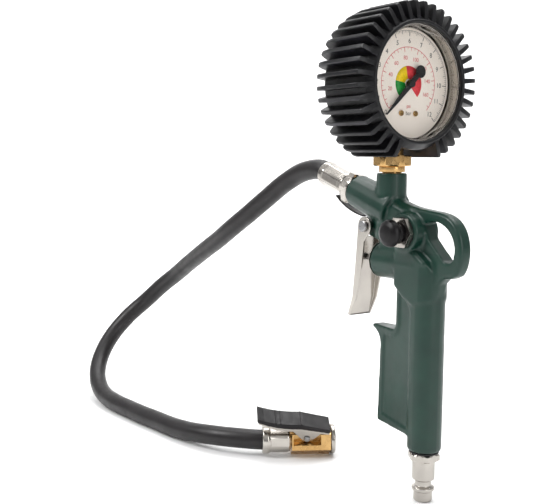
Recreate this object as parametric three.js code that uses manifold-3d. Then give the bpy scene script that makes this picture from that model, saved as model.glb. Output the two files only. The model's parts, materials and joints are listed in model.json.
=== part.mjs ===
// A tyre inflator: a cast grip with a trigger valve and a bleed button, a pressure gauge in a
// finned rubber protector, an air plug, and a rubber hose that ends in a clip-on valve chuck.
//
// Millimetres, +Z up. -X is forward (the trigger side), +X is back (the dial faces back), and
// -Y is the side of the bleed button. The origin is the middle of the grip, on the axis of its
// air tube. Heights below are measured from the tip of the air plug, which is also the level of
// the surface that the hose and the chuck lie on.

import * as THREE from 'three';
import { mergeVertices } from 'three/addons/utils/BufferGeometryUtils.js';
import Module from 'manifold-3d';

const wasm = await Module();
wasm.setup();

// ---------------------------------------------------------------- driving dimensions

const ORIGIN_HEIGHT = 80; // middle of the grip above the plug's tip
const GAP = 0.3; // clearance between neighbouring pieces

// casting
const GRIP_RADIUS = 9;
const GRIP_FOOT = 27.4; // lower end of the grip's air tube
const GRIP_TAPER = 8; // degrees that each side of the grip's web leans towards the front edge
const GRIP_WEB_FRONT = -40;
const AIR_BORE = 4.5;
const PLUG_BORE = 6.6;
const PLUG_BORE_TOP = 38.5;

// main valve, on a line along X
const VALVE_HEIGHT = 124.4;
const VALVE_HOUSING_RADIUS = 9.7;
const VALVE_FRONT = -35.5;
const VALVE_BORE = 7.4;
const VALVE_CHAMBER = 6.4;
const VALVE_SHOULDER = -8.8;
const VALVE_CHAMBER_END = -1.5;
const SPRING_SEAT = 4.2;
const SPRING_SEAT_END = 5;
const STEM_RADIUS = 2;

// gauge boss, vertical
const GAUGE_AXIS_X = -29.8;
const GAUGE_BOSS_RADIUS = 8.25;
const GAUGE_BOSS_TOP = 171.8;

// hose boss, sloping up to the front
const HOSE_SLOPE = THREE.MathUtils.degToRad(18);
const HOSE_BOSS_END = new THREE.Vector3(-58.1, 0, 161.3);
const HOSE_BOSS_RADIUS = 9.3;
const HOSE_BOSS_LENGTH = 34;
const HOSE_RADIUS = 6;

// bleed button, on a line along Y
const BLEED_X = -9.5;
const BLEED_HEIGHT = 141.4;
const BLEED_BOSS_RADIUS = 10.3;
const BLEED_FACE = -10;

// trigger
const TRIGGER_PIVOT = new THREE.Vector3(-42.6, 0, 142.4);
const TRIGGER_WIDTH = 16;
const SHEET = 1.2;
const PIN_RADIUS = 2;

// gauge, on a line along X
const GAUGE_HEIGHT = 218;
const CASE_RADIUS = 31;
const CASE_BACK = -44.3;
const CASE_FRONT = -11.2;
const FIN_COUNT = 40;
const FIN_RADIUS = 41.6;
const FIN_THICKNESS = 2.3;
const STEM_OPENING = 12.4; // radius of the protector's opening for the stem
const PROTECTOR_FLAT = 38; // flat under the protector, below the gauge's axis

// gauge movement: heights are measured from the pointer's axis
const PINION_TEETH = 12;
const GEAR_RATIO = 8;
const GEAR_MODULE = 0.25;
const SECTOR_REST = THREE.MathUtils.degToRad(-16.875);
const PINION_PITCH_RADIUS = PINION_TEETH * GEAR_MODULE / 2;
const SECTOR_PITCH_RADIUS = PINION_PITCH_RADIUS * GEAR_RATIO;
const SECTOR_PIVOT_DROP = PINION_PITCH_RADIUS + SECTOR_PITCH_RADIUS;
const TAIL_PIN = new THREE.Vector2(5, -18);
const TUBE_TIP = new THREE.Vector2(19.6, -9.2);

// chuck, on a line along its own X, from the end of the hose (0) to its mouth
const CHUCK_AT = new THREE.Vector3(-104.3, -33, 9.6);
const CHUCK_YAW = THREE.MathUtils.degToRad(60);
const CHUCK_ROLL = THREE.MathUtils.degToRad(28);
const CHUCK_FLATS = 16.5;
const CHUCK_BODY_START = 17.6;
const CHUCK_BODY_END = 41;
const CHUCK_LEVER_WIDTH = 11.2;
const AT_LEVER_PIVOT = new THREE.Vector3(26.5, 0, 6);
const RIVET_RADIUS = 1.2;

// ---------------------------------------------------------------- directions

const UP = new THREE.Vector3(0, 0, 1);
const BACK = new THREE.Vector3(1, 0, 0);
const RIGHT = new THREE.Vector3(0, 1, 0);
const OUT_OF_HOSE_BOSS = new THREE.Vector3(-Math.cos(HOSE_SLOPE), 0, Math.sin(HOSE_SLOPE));

// ---------------------------------------------------------------- solids

// Gives the signed volume of a list of triangles, negative when they face inwards.
function signedVolume(positions, triangles) {
  const a = new THREE.Vector3();
  const b = new THREE.Vector3();
  const c = new THREE.Vector3();
  let volume = 0;
  for (let i = 0; i < triangles.length; i += 3) {
    a.fromArray(positions, triangles[i] * 3);
    b.fromArray(positions, triangles[i + 1] * 3);
    c.fromArray(positions, triangles[i + 2] * 3);
    volume += a.dot(b.cross(c)) / 6;
  }
  return volume;
}

// Turns a closed geometry into a solid that can be joined and cut.
function solidOf(geometry) {
  const bare = geometry.clone();
  bare.deleteAttribute('normal');
  bare.deleteAttribute('uv');
  const merged = mergeVertices(bare, 1e-4);
  const positions = merged.attributes.position.array;
  const corners = merged.index.array;
  const triangles = [];
  for (let i = 0; i < corners.length; i += 3) {
    const [a, b, c] = [corners[i], corners[i + 1], corners[i + 2]];
    if (a !== b && b !== c && c !== a) {
      triangles.push(a, b, c);
    }
  }
  if (signedVolume(positions, triangles) < 0) {
    triangles.reverse();
  }
  const mesh = new wasm.Mesh({
    numProp: 3,
    vertProperties: Float32Array.from(positions),
    triVerts: Uint32Array.from(triangles),
  });
  return new wasm.Manifold(mesh);
}

// Turns a solid back into a geometry.
function geometryOf(solid) {
  const mesh = solid.getMesh();
  const geometry = new THREE.BufferGeometry();
  geometry.setAttribute('position', new THREE.BufferAttribute(mesh.vertProperties, 3));
  geometry.setIndex(new THREE.BufferAttribute(mesh.triVerts, 1));
  geometry.computeVertexNormals();
  return geometry;
}

function joined(...geometries) {
  return geometries.map(solidOf).reduce((whole, next) => whole.add(next));
}

function cut(solid, ...tools) {
  return tools.map(solidOf).reduce((rest, tool) => rest.subtract(tool), solid);
}

// ---------------------------------------------------------------- shapes

// Moves a shape made about +Z so that its axis runs along a direction from a point.
function aim(geometry, at, direction) {
  const turn = new THREE.Quaternion().setFromUnitVectors(UP, direction);
  return geometry.applyQuaternion(turn).translate(at.x, at.y, at.z);
}

// Turns a profile of [radius, height] points about +Z.
function turned(profile, segments = 16) {
  const points = profile.map(([radius, height]) => new THREE.Vector2(radius, height));
  return new THREE.LatheGeometry(points, segments).rotateX(Math.PI / 2);
}

// A plain round bar about +Z between two heights.
function bar(radius, from, to, segments = 16) {
  return turned([[0, from], [radius, from], [radius, to], [0, to]], segments);
}

// A tube or washer about +Z between two heights.
function sleeve(inner, outer, from, to, segments = 16) {
  return turned([[inner, from], [outer, from], [outer, to], [inner, to], [inner, from]], segments);
}

// A rubber ring of round section about +Z.
function ring(radius, section, height, segments = 14, sides = 4) {
  return new THREE.TorusGeometry(radius, section, sides, segments).translate(0, 0, height);
}

// A hexagonal bar about +Z, with two corners on the Y axis.
function hexagon(flats, from, to) {
  const radius = flats / Math.sqrt(3);
  const prism = new THREE.CylinderGeometry(radius, radius, to - from, 6);
  return prism.rotateX(Math.PI / 2).translate(0, 0, (from + to) / 2);
}

function block(fromX, toX, fromY, toY, fromZ, toZ) {
  const box = new THREE.BoxGeometry(toX - fromX, toY - fromY, toZ - fromZ);
  return box.translate((fromX + toX) / 2, (fromY + toY) / 2, (fromZ + toZ) / 2);
}

function outline(points) {
  return new THREE.Shape(points.map(([x, y]) => new THREE.Vector2(x, y)));
}

// Extrudes a side view, drawn as (X, Z), to a width along Y that is centred on the XZ plane.
function sideways(shape, width, bevel = 0, curveSegments = 12) {
  const settings = {
    depth: width - 2 * bevel,
    bevelEnabled: bevel > 0,
    bevelThickness: bevel,
    bevelSize: bevel,
    bevelOffset: -bevel,
    bevelSegments: 1,
    curveSegments,
  };
  const solid = new THREE.ExtrudeGeometry(shape, settings);
  return solid.translate(0, 0, -width / 2 + bevel).rotateX(Math.PI / 2);
}

// Extrudes a front view, drawn as (Y, Z) from the gauge's axis, between two places along X.
function facing(shape, fromX, toX, curveSegments = 12) {
  const settings = { depth: toX - fromX, bevelEnabled: false, curveSegments };
  const solid = new THREE.ExtrudeGeometry(shape, settings);
  const frame = new THREE.Matrix4().makeBasis(RIGHT, UP, BACK);
  return solid.applyMatrix4(frame).translate(fromX, 0, GAUGE_HEIGHT);
}

// Sweeps a round section along a curve.
function swept(curve, radius, sides, steps) {
  const section = new THREE.Shape();
  for (let i = 0; i <= sides; i += 1) {
    const angle = 2 * Math.PI * (i % sides) / sides;
    const point = [radius * Math.cos(angle), radius * Math.sin(angle)];
    if (i === 0) {
      section.moveTo(...point);
    } else {
      section.lineTo(...point);
    }
  }
  return new THREE.ExtrudeGeometry(section, { steps, extrudePath: curve, bevelEnabled: false });
}

// A wire coil about +Z, from height 0 to its free length.
class Coil extends THREE.Curve {
  constructor(radius, length, turns) {
    super();
    this.radius = radius;
    this.length = length;
    this.turns = turns;
  }

  getPoint(t, target = new THREE.Vector3()) {
    const angle = 2 * Math.PI * this.turns * t;
    return target.set(
      this.radius * Math.cos(angle),
      this.radius * Math.sin(angle),
      this.length * t,
    );
  }
}

function spring(radius, wire, length, turns) {
  const coil = new Coil(radius, length - 2 * wire, turns);
  return swept(coil, wire, 4, turns * 8).translate(0, 0, wire);
}

// ---------------------------------------------------------------- finishes

const FINISHES = {
  castGreen: { color: 0x1f3d33, roughness: 0.42, metalness: 0.1 },
  nickel: { color: 0xc9c6c0, roughness: 0.25, metalness: 1 },
  steel: { color: 0xb4b2ac, roughness: 0.35, metalness: 1 },
  brass: { color: 0xc79a4b, roughness: 0.35, metalness: 1 },
  rubber: { color: 0x1b1a1c, roughness: 0.75, metalness: 0 },
  plastic: { color: 0x232123, roughness: 0.45, metalness: 0 },
  dial: { color: 0xe6ddd2, roughness: 0.5, metalness: 0 },
  clear: { color: 0xe9eef0, roughness: 0.05, metalness: 0 },
  pointerBlack: { color: 0x141414, roughness: 0.5, metalness: 0 },
};

const tool = new THREE.Group();
tool.position.set(0, 0, -ORIGIN_HEIGHT);

const chuck = new THREE.Group();
chuck.position.copy(CHUCK_AT);
chuck.rotation.set(CHUCK_ROLL, 0, CHUCK_YAW, 'ZYX');
tool.add(chuck);

// Adds one named piece, given as a geometry or as a solid.
function piece(name, finish, shape, parent = tool) {
  const geometry = shape.isBufferGeometry ? geometryOf(solidOf(shape)) : geometryOf(shape);
  const mesh = new THREE.Mesh(geometry, new THREE.MeshStandardMaterial(FINISHES[finish]));
  mesh.name = name;
  parent.add(mesh);
}

// ---------------------------------------------------------------- cast body

// The web in front of the air tube, seen from the side: finger ledge, front edge and foot.
function gripSide() {
  const shape = new THREE.Shape();
  shape.moveTo(6, 34.6);
  shape.lineTo(6, 118);
  shape.lineTo(-17, 118);
  shape.lineTo(-17.2, 92.5);
  shape.quadraticCurveTo(-17.4, 89.2, -20.6, 89);
  shape.lineTo(-38.2, 89);
  shape.quadraticCurveTo(-40.2, 87.6, -38, 86.7);
  shape.quadraticCurveTo(-32, 84.6, -31.4, 79.5);
  shape.lineTo(-32.7, 37.3);
  shape.quadraticCurveTo(-32.7, 35.8, -31.2, 35.8);
  shape.closePath();
  return shape;
}

// The same web seen from above: flat sides that run from the tube to a thinner front edge.
function gripPlan() {
  const lean = THREE.MathUtils.degToRad(GRIP_TAPER);
  const side = Math.PI / 2 + lean;
  const start = GRIP_RADIUS * Math.sin(side);
  const run = GRIP_RADIUS * Math.cos(side) - GRIP_WEB_FRONT;
  const halfFront = start - run * Math.tan(lean);
  const shape = new THREE.Shape();
  shape.absarc(0, 0, GRIP_RADIUS, -side, side, false);
  shape.lineTo(GRIP_WEB_FRONT, halfFront);
  shape.lineTo(GRIP_WEB_FRONT, -halfFront);
  shape.closePath();
  return shape;
}

// The thick flat-sided part of the body behind the valve housing.
function shoulderSide() {
  return outline([
    [-17.2, 113], [-17.2, 133.6], [-2, 132.4], [5.3, 127.4],
    [8.6, 121.5], [8.9, 108], [-2, 103.5], [-10, 107],
  ]);
}

// The wall between the gauge boss, the bleed boss and the valve housing.
function bridgeSide() {
  return outline([[-32, 128], [-34, 148], [-22, 157], [-12, 153.6], [-2, 147], [-1, 130]]);
}

// The wall that carries the hanging eye.
function eyeWallSide() {
  const shape = new THREE.Shape();
  shape.moveTo(-22, 158);
  shape.splineThru([
    new THREE.Vector2(-10.4, 154.8),
    new THREE.Vector2(1, 153.4),
    new THREE.Vector2(11.5, 152.2),
    new THREE.Vector2(18.5, 149.4),
    new THREE.Vector2(23, 144.4),
    new THREE.Vector2(25.3, 138),
    new THREE.Vector2(25.6, 131.5),
    new THREE.Vector2(24.4, 125.6),
    new THREE.Vector2(22, 121.6),
  ]);
  shape.lineTo(18.4, 119.9);
  shape.lineTo(14, 119.5);
  shape.lineTo(10.4, 116);
  shape.lineTo(8.8, 109);
  shape.lineTo(0, 106);
  shape.lineTo(-15, 114);
  shape.lineTo(-28, 140);
  shape.closePath();
  return shape;
}

// The hole of the hanging eye.
function eyeSide() {
  const shape = new THREE.Shape();
  shape.moveTo(-0.8, 146.6);
  shape.splineThru([
    new THREE.Vector2(7.4, 147.9),
    new THREE.Vector2(14.4, 145.4),
    new THREE.Vector2(18.8, 141),
    new THREE.Vector2(20.7, 135.6),
    new THREE.Vector2(20.2, 130),
  ]);
  shape.quadraticCurveTo(19.2, 127.8, 16.2, 127.8);
  shape.quadraticCurveTo(14.4, 127.8, 13.4, 128.8);
  shape.lineTo(3.2, 138.4);
  shape.closePath();
  return shape;
}

// The lug that the trigger hangs on.
function lugSide() {
  const shape = new THREE.Shape();
  const lugRadius = 5;
  shape.moveTo(-24, 132);
  shape.lineTo(-24, 150);
  shape.absarc(TRIGGER_PIVOT.x, TRIGGER_PIVOT.z, lugRadius, Math.PI / 2, Math.PI * 1.4, false);
  shape.closePath();
  return shape;
}

function castBody() {
  const gripHeight = 90;
  const plan = new THREE.ExtrudeGeometry(gripPlan(), { depth: gripHeight, bevelEnabled: false });
  plan.translate(0, 0, 30);
  const web = solidOf(plan).intersect(solidOf(sideways(gripSide(), 4 * GRIP_RADIUS, 0, 5)));
  const atValve = new THREE.Vector3(0, 0, VALVE_HEIGHT);
  const atBleed = new THREE.Vector3(BLEED_X, 0, BLEED_HEIGHT);
  const atGauge = new THREE.Vector3(GAUGE_AXIS_X, 0, 0);
  const lengthwise = (geometry) => aim(geometry, atValve, BACK);
  const crosswise = (geometry) => aim(geometry, atBleed, RIGHT);
  const upright = (geometry) => aim(geometry, atGauge, UP);
  const sloping = (geometry) => aim(geometry, HOSE_BOSS_END, OUT_OF_HOSE_BOSS);

  const hoseBoss = turned([
    [0, -HOSE_BOSS_LENGTH], [HOSE_BOSS_RADIUS + 1.2, -HOSE_BOSS_LENGTH],
    [HOSE_BOSS_RADIUS, -1], [HOSE_BOSS_RADIUS - 0.8, 0], [0, 0],
  ]);
  const tubeTop = 118;
  const whole = joined(
    turned([
      [0, GRIP_FOOT], [GRIP_RADIUS - 0.8, GRIP_FOOT], [GRIP_RADIUS, GRIP_FOOT + 0.8],
      [GRIP_RADIUS, tubeTop], [0, tubeTop + GRIP_RADIUS],
    ], 24),
    sideways(shoulderSide(), 19, 1.2),
    sideways(bridgeSide(), 14, 2),
    sideways(eyeWallSide(), 8, 1.2, 2),
    sideways(lugSide(), 9, 0.6),
    lengthwise(bar(VALVE_HOUSING_RADIUS, VALVE_FRONT, -2, 20)),
    crosswise(turned([
      [0, BLEED_FACE], [BLEED_BOSS_RADIUS - 0.6, BLEED_FACE],
      [BLEED_BOSS_RADIUS, BLEED_FACE + 0.6], [BLEED_BOSS_RADIUS, 5.6],
      [BLEED_BOSS_RADIUS - 1, 6.6], [0, 6.6],
    ])),
    upright(bar(GAUGE_BOSS_RADIUS, 136, GAUGE_BOSS_TOP)),
    sloping(hoseBoss),
  ).add(web);

  return cut(
    whole,
    sideways(eyeSide(), 12, 0, 3),
    bar(PLUG_BORE, GRIP_FOOT - 1, PLUG_BORE_TOP, 16),
    bar(AIR_BORE, PLUG_BORE_TOP - 1, VALVE_HEIGHT, 12),
    lengthwise(bar(VALVE_BORE, VALVE_FRONT - 1, VALVE_SHOULDER)),
    lengthwise(bar(VALVE_CHAMBER, VALVE_SHOULDER - 1, VALVE_CHAMBER_END)),
    lengthwise(bar(SPRING_SEAT, VALVE_CHAMBER_END - 1, SPRING_SEAT_END, 14)),
    upright(bar(6.5, 159, GAUGE_BOSS_TOP + 1, 16)),
    upright(bar(2.5, 150, 160, 10)),
    sloping(bar(6.5, -12.5, 1, 16)),
    sloping(bar(3, -51, -12, 8)),
    aim(bar(2.5, VALVE_HEIGHT, 150, 10), new THREE.Vector3(-22.5, 0, 0), UP),
    crosswise(bar(6.9, BLEED_FACE - 1, -1.7)),
    crosswise(bar(5.5, -2, 5, 16)),
    aim(bar(PIN_RADIUS + GAP, -6, 6, 12), TRIGGER_PIVOT, RIGHT),
  );
}

// ---------------------------------------------------------------- air plug

function addAirPlug() {
  const profile = [
    [3.6, 0], [4.4, 0], [5, 0.8], [5, 5.4], [6, 6], [6, 7.6], [4.35, 8.4], [4.35, 11.2],
    [6, 12], [6, 22.4], [7, 22.4], [7, 26.2], [6.3, 26.2], [6.3, 37.4], [3.6, 37.4], [3.6, 0],
  ];
  const hex = hexagon(15, 22.2, 26.2).rotateZ(Math.PI / 6);
  const bore = bar(3.6, 20, 30, 16);
  piece('air_plug', 'nickel', joined(turned(profile, 16), geometryOf(cut(joined(hex), bore))));
  piece('air_plug_seal', 'rubber', sleeve(6.6, 8, 26.5, GRIP_FOOT - GAP));
}

// ---------------------------------------------------------------- main valve

function addMainValve() {
  const line = new THREE.Vector3(0, 0, VALVE_HEIGHT);
  const along = (geometry) => aim(geometry, line, BACK);
  const gland = [
    [2.4, -37], [9, -37], [9.9, -36.6], [9.9, VALVE_FRONT - GAP], [7.1, VALVE_FRONT - GAP],
    [7.1, -28], [4, -28], [4, -30], [2.4, -30], [2.4, -37],
  ];
  piece('valve_gland', 'nickel', along(turned(gland)));
  piece('valve_stem_ring', 'rubber', along(ring(3.05, 0.75, -28.9)));
  const stem = [
    [0, -47.6], [1.2, -47.6], [STEM_RADIUS, -46.8], [STEM_RADIUS, -7.4], [5, -7.4], [5, -5.2],
    [STEM_RADIUS, -5.2], [STEM_RADIUS, -2.4], [0, -2.4],
  ];
  piece('valve_stem', 'steel', along(turned(stem, 12)));
  piece('valve_head_seal', 'rubber', along(sleeve(2.3, 4.8, -8.5, -7.7, 12)));
  const seat = [
    [3, -12.6], [7.1, -12.6], [7.1, -11.6], [6, -11.6], [6, -10.2], [7.1, -10.2],
    [7.1, -9.1], [3, -9.1], [3, -12.6],
  ];
  piece('valve_seat', 'brass', along(turned(seat)));
  piece('valve_seat_ring', 'rubber', along(ring(6.7, 0.5, -10.9)));
  const returnSpring = spring(3.4, 0.45, 9.4, 5).translate(0, 0, -4.8);
  piece('valve_spring', 'steel', along(returnSpring));
}

// ---------------------------------------------------------------- bleed button

function addBleedButton() {
  const line = new THREE.Vector3(BLEED_X, 0, BLEED_HEIGHT);
  const along = (geometry) => aim(geometry, line, RIGHT);
  const shank = turned([
    [2.3, -12.8], [5.6, -12.8], [5.6, -12.6], [6.6, -12.6], [6.6, -2.2], [2.3, -2.2], [2.3, -12.8],
  ], 16);
  const hex = hexagon(15, -12.8, BLEED_FACE - GAP).rotateZ(Math.PI / 2);
  const housing = cut(joined(shank, hex), bar(5.6, -14, -6.6), bar(2.3, -8, 0));
  piece('bleed_housing', 'nickel', along(geometryOf(housing)));
  const slack = 0.02;
  const washer = sleeve(7.1, 8.1, BLEED_FACE - GAP + slack, BLEED_FACE - slack);
  piece('bleed_housing_ring', 'rubber', along(washer));
  const cap = [
    [0, -22.4], [4.2, -22], [6.4, -20.8], [7.1, -19.2], [7.1, -18], [6.6, -17.4], [5, -17.4],
    [5, -16.6], [5.3, -16.2], [5, -15.8], [5, -15.2], [5.3, -14.8], [5, -14.4], [5, -10.4],
    [2.1, -10.4], [2.1, -16.4], [0, -16.4],
  ];
  piece('bleed_button', 'plastic', along(turned(cap, 16)));
  const stem = [
    [0, -16], [1.8, -16], [1.8, -1.2], [4, -1.2], [4, 0.6], [1.5, 0.6], [1.5, 1.4], [0, 1.4],
  ];
  piece('bleed_stem', 'brass', along(turned(stem, 12)));
  piece('bleed_seal', 'rubber', along(sleeve(2.1, 3.8, -2, -1.5, 12)));
  piece('bleed_spring', 'steel', along(spring(2.5, 0.3, 3.9, 4).translate(0, 0, 0.9)));
}

// ---------------------------------------------------------------- trigger

const TRIGGER_FRONT = [[-48.4, 136.5], [-49.3, 125], [-50.4, 114], [-51.8, 102], [-55.6, 91.6]];

function addTrigger() {
  const earRadius = 5.3;
  const side = new THREE.Shape();
  side.absarc(TRIGGER_PIVOT.x, TRIGGER_PIVOT.z, earRadius, -Math.PI / 4, Math.PI, false);
  TRIGGER_FRONT.forEach(([x, z]) => side.lineTo(x, z));
  [[-53.9, 91.2], [-48.4, 101.5], [-45.4, 114], [-43.3, 126], [-42.6, 134]]
    .forEach(([x, z]) => side.lineTo(x, z));
  side.closePath();
  const inside = outline([
    ...TRIGGER_FRONT.map(([x, z]) => [x + SHEET, z]),
    [-30, 88], [-30, 136.5],
  ]);
  const above = outline([[-60, 136.4], [-60, 152], [-30, 152], [-30, 136.4]]);
  const innerWidth = TRIGGER_WIDTH - 2 * SHEET;
  const channel = cut(
    joined(sideways(side, TRIGGER_WIDTH, 0, 7)),
    sideways(inside, innerWidth),
    sideways(above, innerWidth),
    aim(bar(PIN_RADIUS + GAP, -12, 12, 14), TRIGGER_PIVOT, RIGHT),
  );
  piece('trigger', 'nickel', channel);
  const pin = [
    [0, -9.8], [2.6, -9.8], [3.2, -9.4], [3.2, -8.3], [PIN_RADIUS, -8.3],
    [PIN_RADIUS, 9.6], [0, 9.6],
  ];
  piece('trigger_pin', 'steel', aim(turned(pin, 12), TRIGGER_PIVOT, RIGHT));
  piece('trigger_pin_clip', 'steel', aim(sleeve(2.3, 3.8, 8.3, 9.1, 12), TRIGGER_PIVOT, RIGHT));
  const strip = new THREE.Shape();
  strip.moveTo(-75, 157.6);
  strip.quadraticCurveTo(-66, 149.6, -51, 147);
  strip.lineTo(-51, 147.8);
  strip.quadraticCurveTo(-65.4, 150.6, -74.4, 158.2);
  strip.closePath();
  piece('guard_strip', 'plastic', sideways(strip, 5, 0, 6));
}

// ---------------------------------------------------------------- hose

// The hose leaves the ferrule along the boss, bends over, comes down, turns back on the
// surface and runs into the chuck.
const HOSE_ROUTE = [
  [-109, -0.5, 170.8], [-126.5, -2, 163.5], [-143, -5, 153], [-160, -8, 142], [-177, -10, 132],
  [-194, -10, 123], [-212, -9, 115], [-230, -7.5, 107], [-248, -6, 99], [-265, -6, 90],
  [-281, -10, 79.5], [-294, -17, 67], [-302, -29, 54], [-303, -42, 40.5], [-297, -53.5, 28],
  [-286, -62, 17.5], [-270.5, -67, 10], [-253, -69, 6.6], [-235, -69, 6], [-218, -67.5, 6],
  [-201, -66, 6], [-184, -63.5, 6], [-166, -61.5, 6.2], [-149, -58.5, 7.2], [-132, -53.5, 8.8],
  [-117, -45, 9.6],
];

const FERRULE_START = 7.4;
const FERRULE_END = 30;
const HOSE_START = 8.7;
const BARB_END = 24;

function onHoseBoss(distance) {
  return HOSE_BOSS_END.clone().addScaledVector(OUT_OF_HOSE_BOSS, distance);
}

function onChuck(distance) {
  const heading = new THREE.Vector3(Math.cos(CHUCK_YAW), Math.sin(CHUCK_YAW), 0);
  return CHUCK_AT.clone().addScaledVector(heading, distance);
}

function addHose() {
  const route = [
    onHoseBoss(HOSE_START),
    onHoseBoss(FERRULE_END / 2),
    onHoseBoss(FERRULE_END),
    onHoseBoss(FERRULE_END + HOSE_RADIUS),
    ...HOSE_ROUTE.map(([x, y, z]) => new THREE.Vector3(x, y, z)),
    onChuck(0),
    onChuck(7),
    onChuck(14.4),
  ];
  const path = new THREE.CatmullRomCurve3(route, false, 'centripetal');
  const tube = solidOf(swept(path, HOSE_RADIUS, 8, 40));
  const boreAtTool = aim(bar(3.7, 0, BARB_END + 1, 12), HOSE_BOSS_END, OUT_OF_HOSE_BOSS);
  const heading = new THREE.Vector3(Math.cos(CHUCK_YAW), Math.sin(CHUCK_YAW), 0);
  const boreAtChuck = aim(bar(3.7, 0.6, 20, 12), CHUCK_AT, heading);
  piece('hose', 'rubber', cut(tube, boreAtTool, boreAtChuck));
}

// A hose ferrule about +Z, crimped on its waist, with a lip that grips the fitting's neck.
function ferrule(from, to, lipAtStart) {
  const wide = 7.2;
  const waist = 6.9;
  const inner = HOSE_RADIUS + GAP;
  const third = (to - from) / 3;
  const outer = [
    [wide - 0.5, from], [wide, from + 0.6], [wide, from + third], [waist, from + third + 0.6],
    [waist, to - third - 0.6], [wide, to - third], [wide, to - 0.6], [wide - 0.5, to],
  ];
  const lip = 4.9;
  const lipDepth = 0.8;
  const inside = lipAtStart
    ? [[inner, to], [inner, from + lipDepth], [lip, from + lipDepth], [lip, from]]
    : [[lip, to], [lip, to - lipDepth], [inner, to - lipDepth], [inner, from]];
  return turned([...outer, ...inside, outer[0]]);
}

function addHoseUnion() {
  const sloping = (geometry) => aim(geometry, HOSE_BOSS_END, OUT_OF_HOSE_BOSS);
  const spigot = turned([
    [0, -11.2], [6.2, -11.2], [6.2, 2], [4.6, 2], [4.6, 8.3], [3.4, 8.3], [3.4, 12], [3.6, 12.2],
    [3.2, 14], [3.6, 16.2], [3.2, 18], [3.6, 20.2], [3.2, 22], [3, BARB_END], [0, BARB_END],
  ], 16);
  const whole = joined(spigot, hexagon(17, GAP, 5.8));
  piece('hose_union', 'nickel', sloping(geometryOf(cut(whole, bar(2, -12, 25, 10)))));
  piece('hose_union_seal', 'rubber', sloping(sleeve(3.2, 6.2, -12.2, -11.5, 12)));
  piece('hose_ferrule', 'nickel', sloping(ferrule(FERRULE_START, FERRULE_END, true)));
}

// ---------------------------------------------------------------- chuck

function addChuck() {
  const along = (geometry) => aim(geometry, new THREE.Vector3(), BACK);
  const neckStart = 15.8;
  const tail = turned([
    [0, 1.5], [3, 1.5], [3.2, 3], [3.6, 5], [3.2, 6], [3.6, 9], [3.2, 10], [3.6, 13], [3.4, 13.4],
    [3.4, neckStart], [4.6, neckStart], [4.6, CHUCK_BODY_START + 1], [0, CHUCK_BODY_START + 1],
  ], 16);
  const hex = hexagon(CHUCK_FLATS, CHUCK_BODY_START, CHUCK_BODY_END);
  const spigot = bar(6, CHUCK_BODY_END - 1, 43.6);
  const whole = joined(along(tail), along(hex), along(spigot));
  const saddleSide = CHUCK_LEVER_WIDTH / 2 - 1;
  const saddleFloor = 2.6;
  const outside = 12;
  const body = cut(
    whole,
    along(bar(2, 0, 33, 12)),
    along(bar(4.3, 30, 45, 16)),
    block(18.5, 35, saddleSide, outside, saddleFloor, outside),
    block(18.5, 35, -outside, -saddleSide, saddleFloor, outside),
    block(37.4, 39.6, -2.6, 2.6, 0, outside),
    aim(bar(RIVET_RADIUS + GAP, -8, 8, 12), AT_LEVER_PIVOT, RIGHT),
  );
  piece('chuck_body', 'brass', body, chuck);
  piece('chuck_mouth_ring', 'nickel', along(turned([
    [6.3, 41.3], [8.6, 41.3], [9, 41.8], [9, 43.4], [8.4, 44], [6.3, 44], [6.3, 41.3],
  ])), chuck);
  piece('chuck_seal', 'rubber', along(sleeve(2, 4, 30.3, 33.3, 16)), chuck);
  const corePin = turned([
    [0, 31], [1.1, 31], [1.1, 35], [0.6, 35.6], [0, 35.6],
  ], 10);
  piece('chuck_core_pin', 'brass', along(corePin), chuck);
  piece('chuck_ferrule', 'nickel', along(chuckFerrule()), chuck);
}

function chuckFerrule() {
  const inner = HOSE_RADIUS + GAP;
  return turned([
    [7.6, 0], [8.4, 0.6], [8.4, 3.8], [7.7, 4.6], [7.7, 15.6], [7.2, 17], [4.9, 17], [4.9, 16.2],
    [inner, 16.2], [inner, 0], [7.6, 0],
  ]);
}

// The clip lever: a sheet-steel channel on a rivet, its tooth in the body's slot.
const LEVER_TOP = [[-3, 19.4], [3, 16.8], [9, 15], [16, 14], [23, 13.6], [40, 9.8]];

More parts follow.
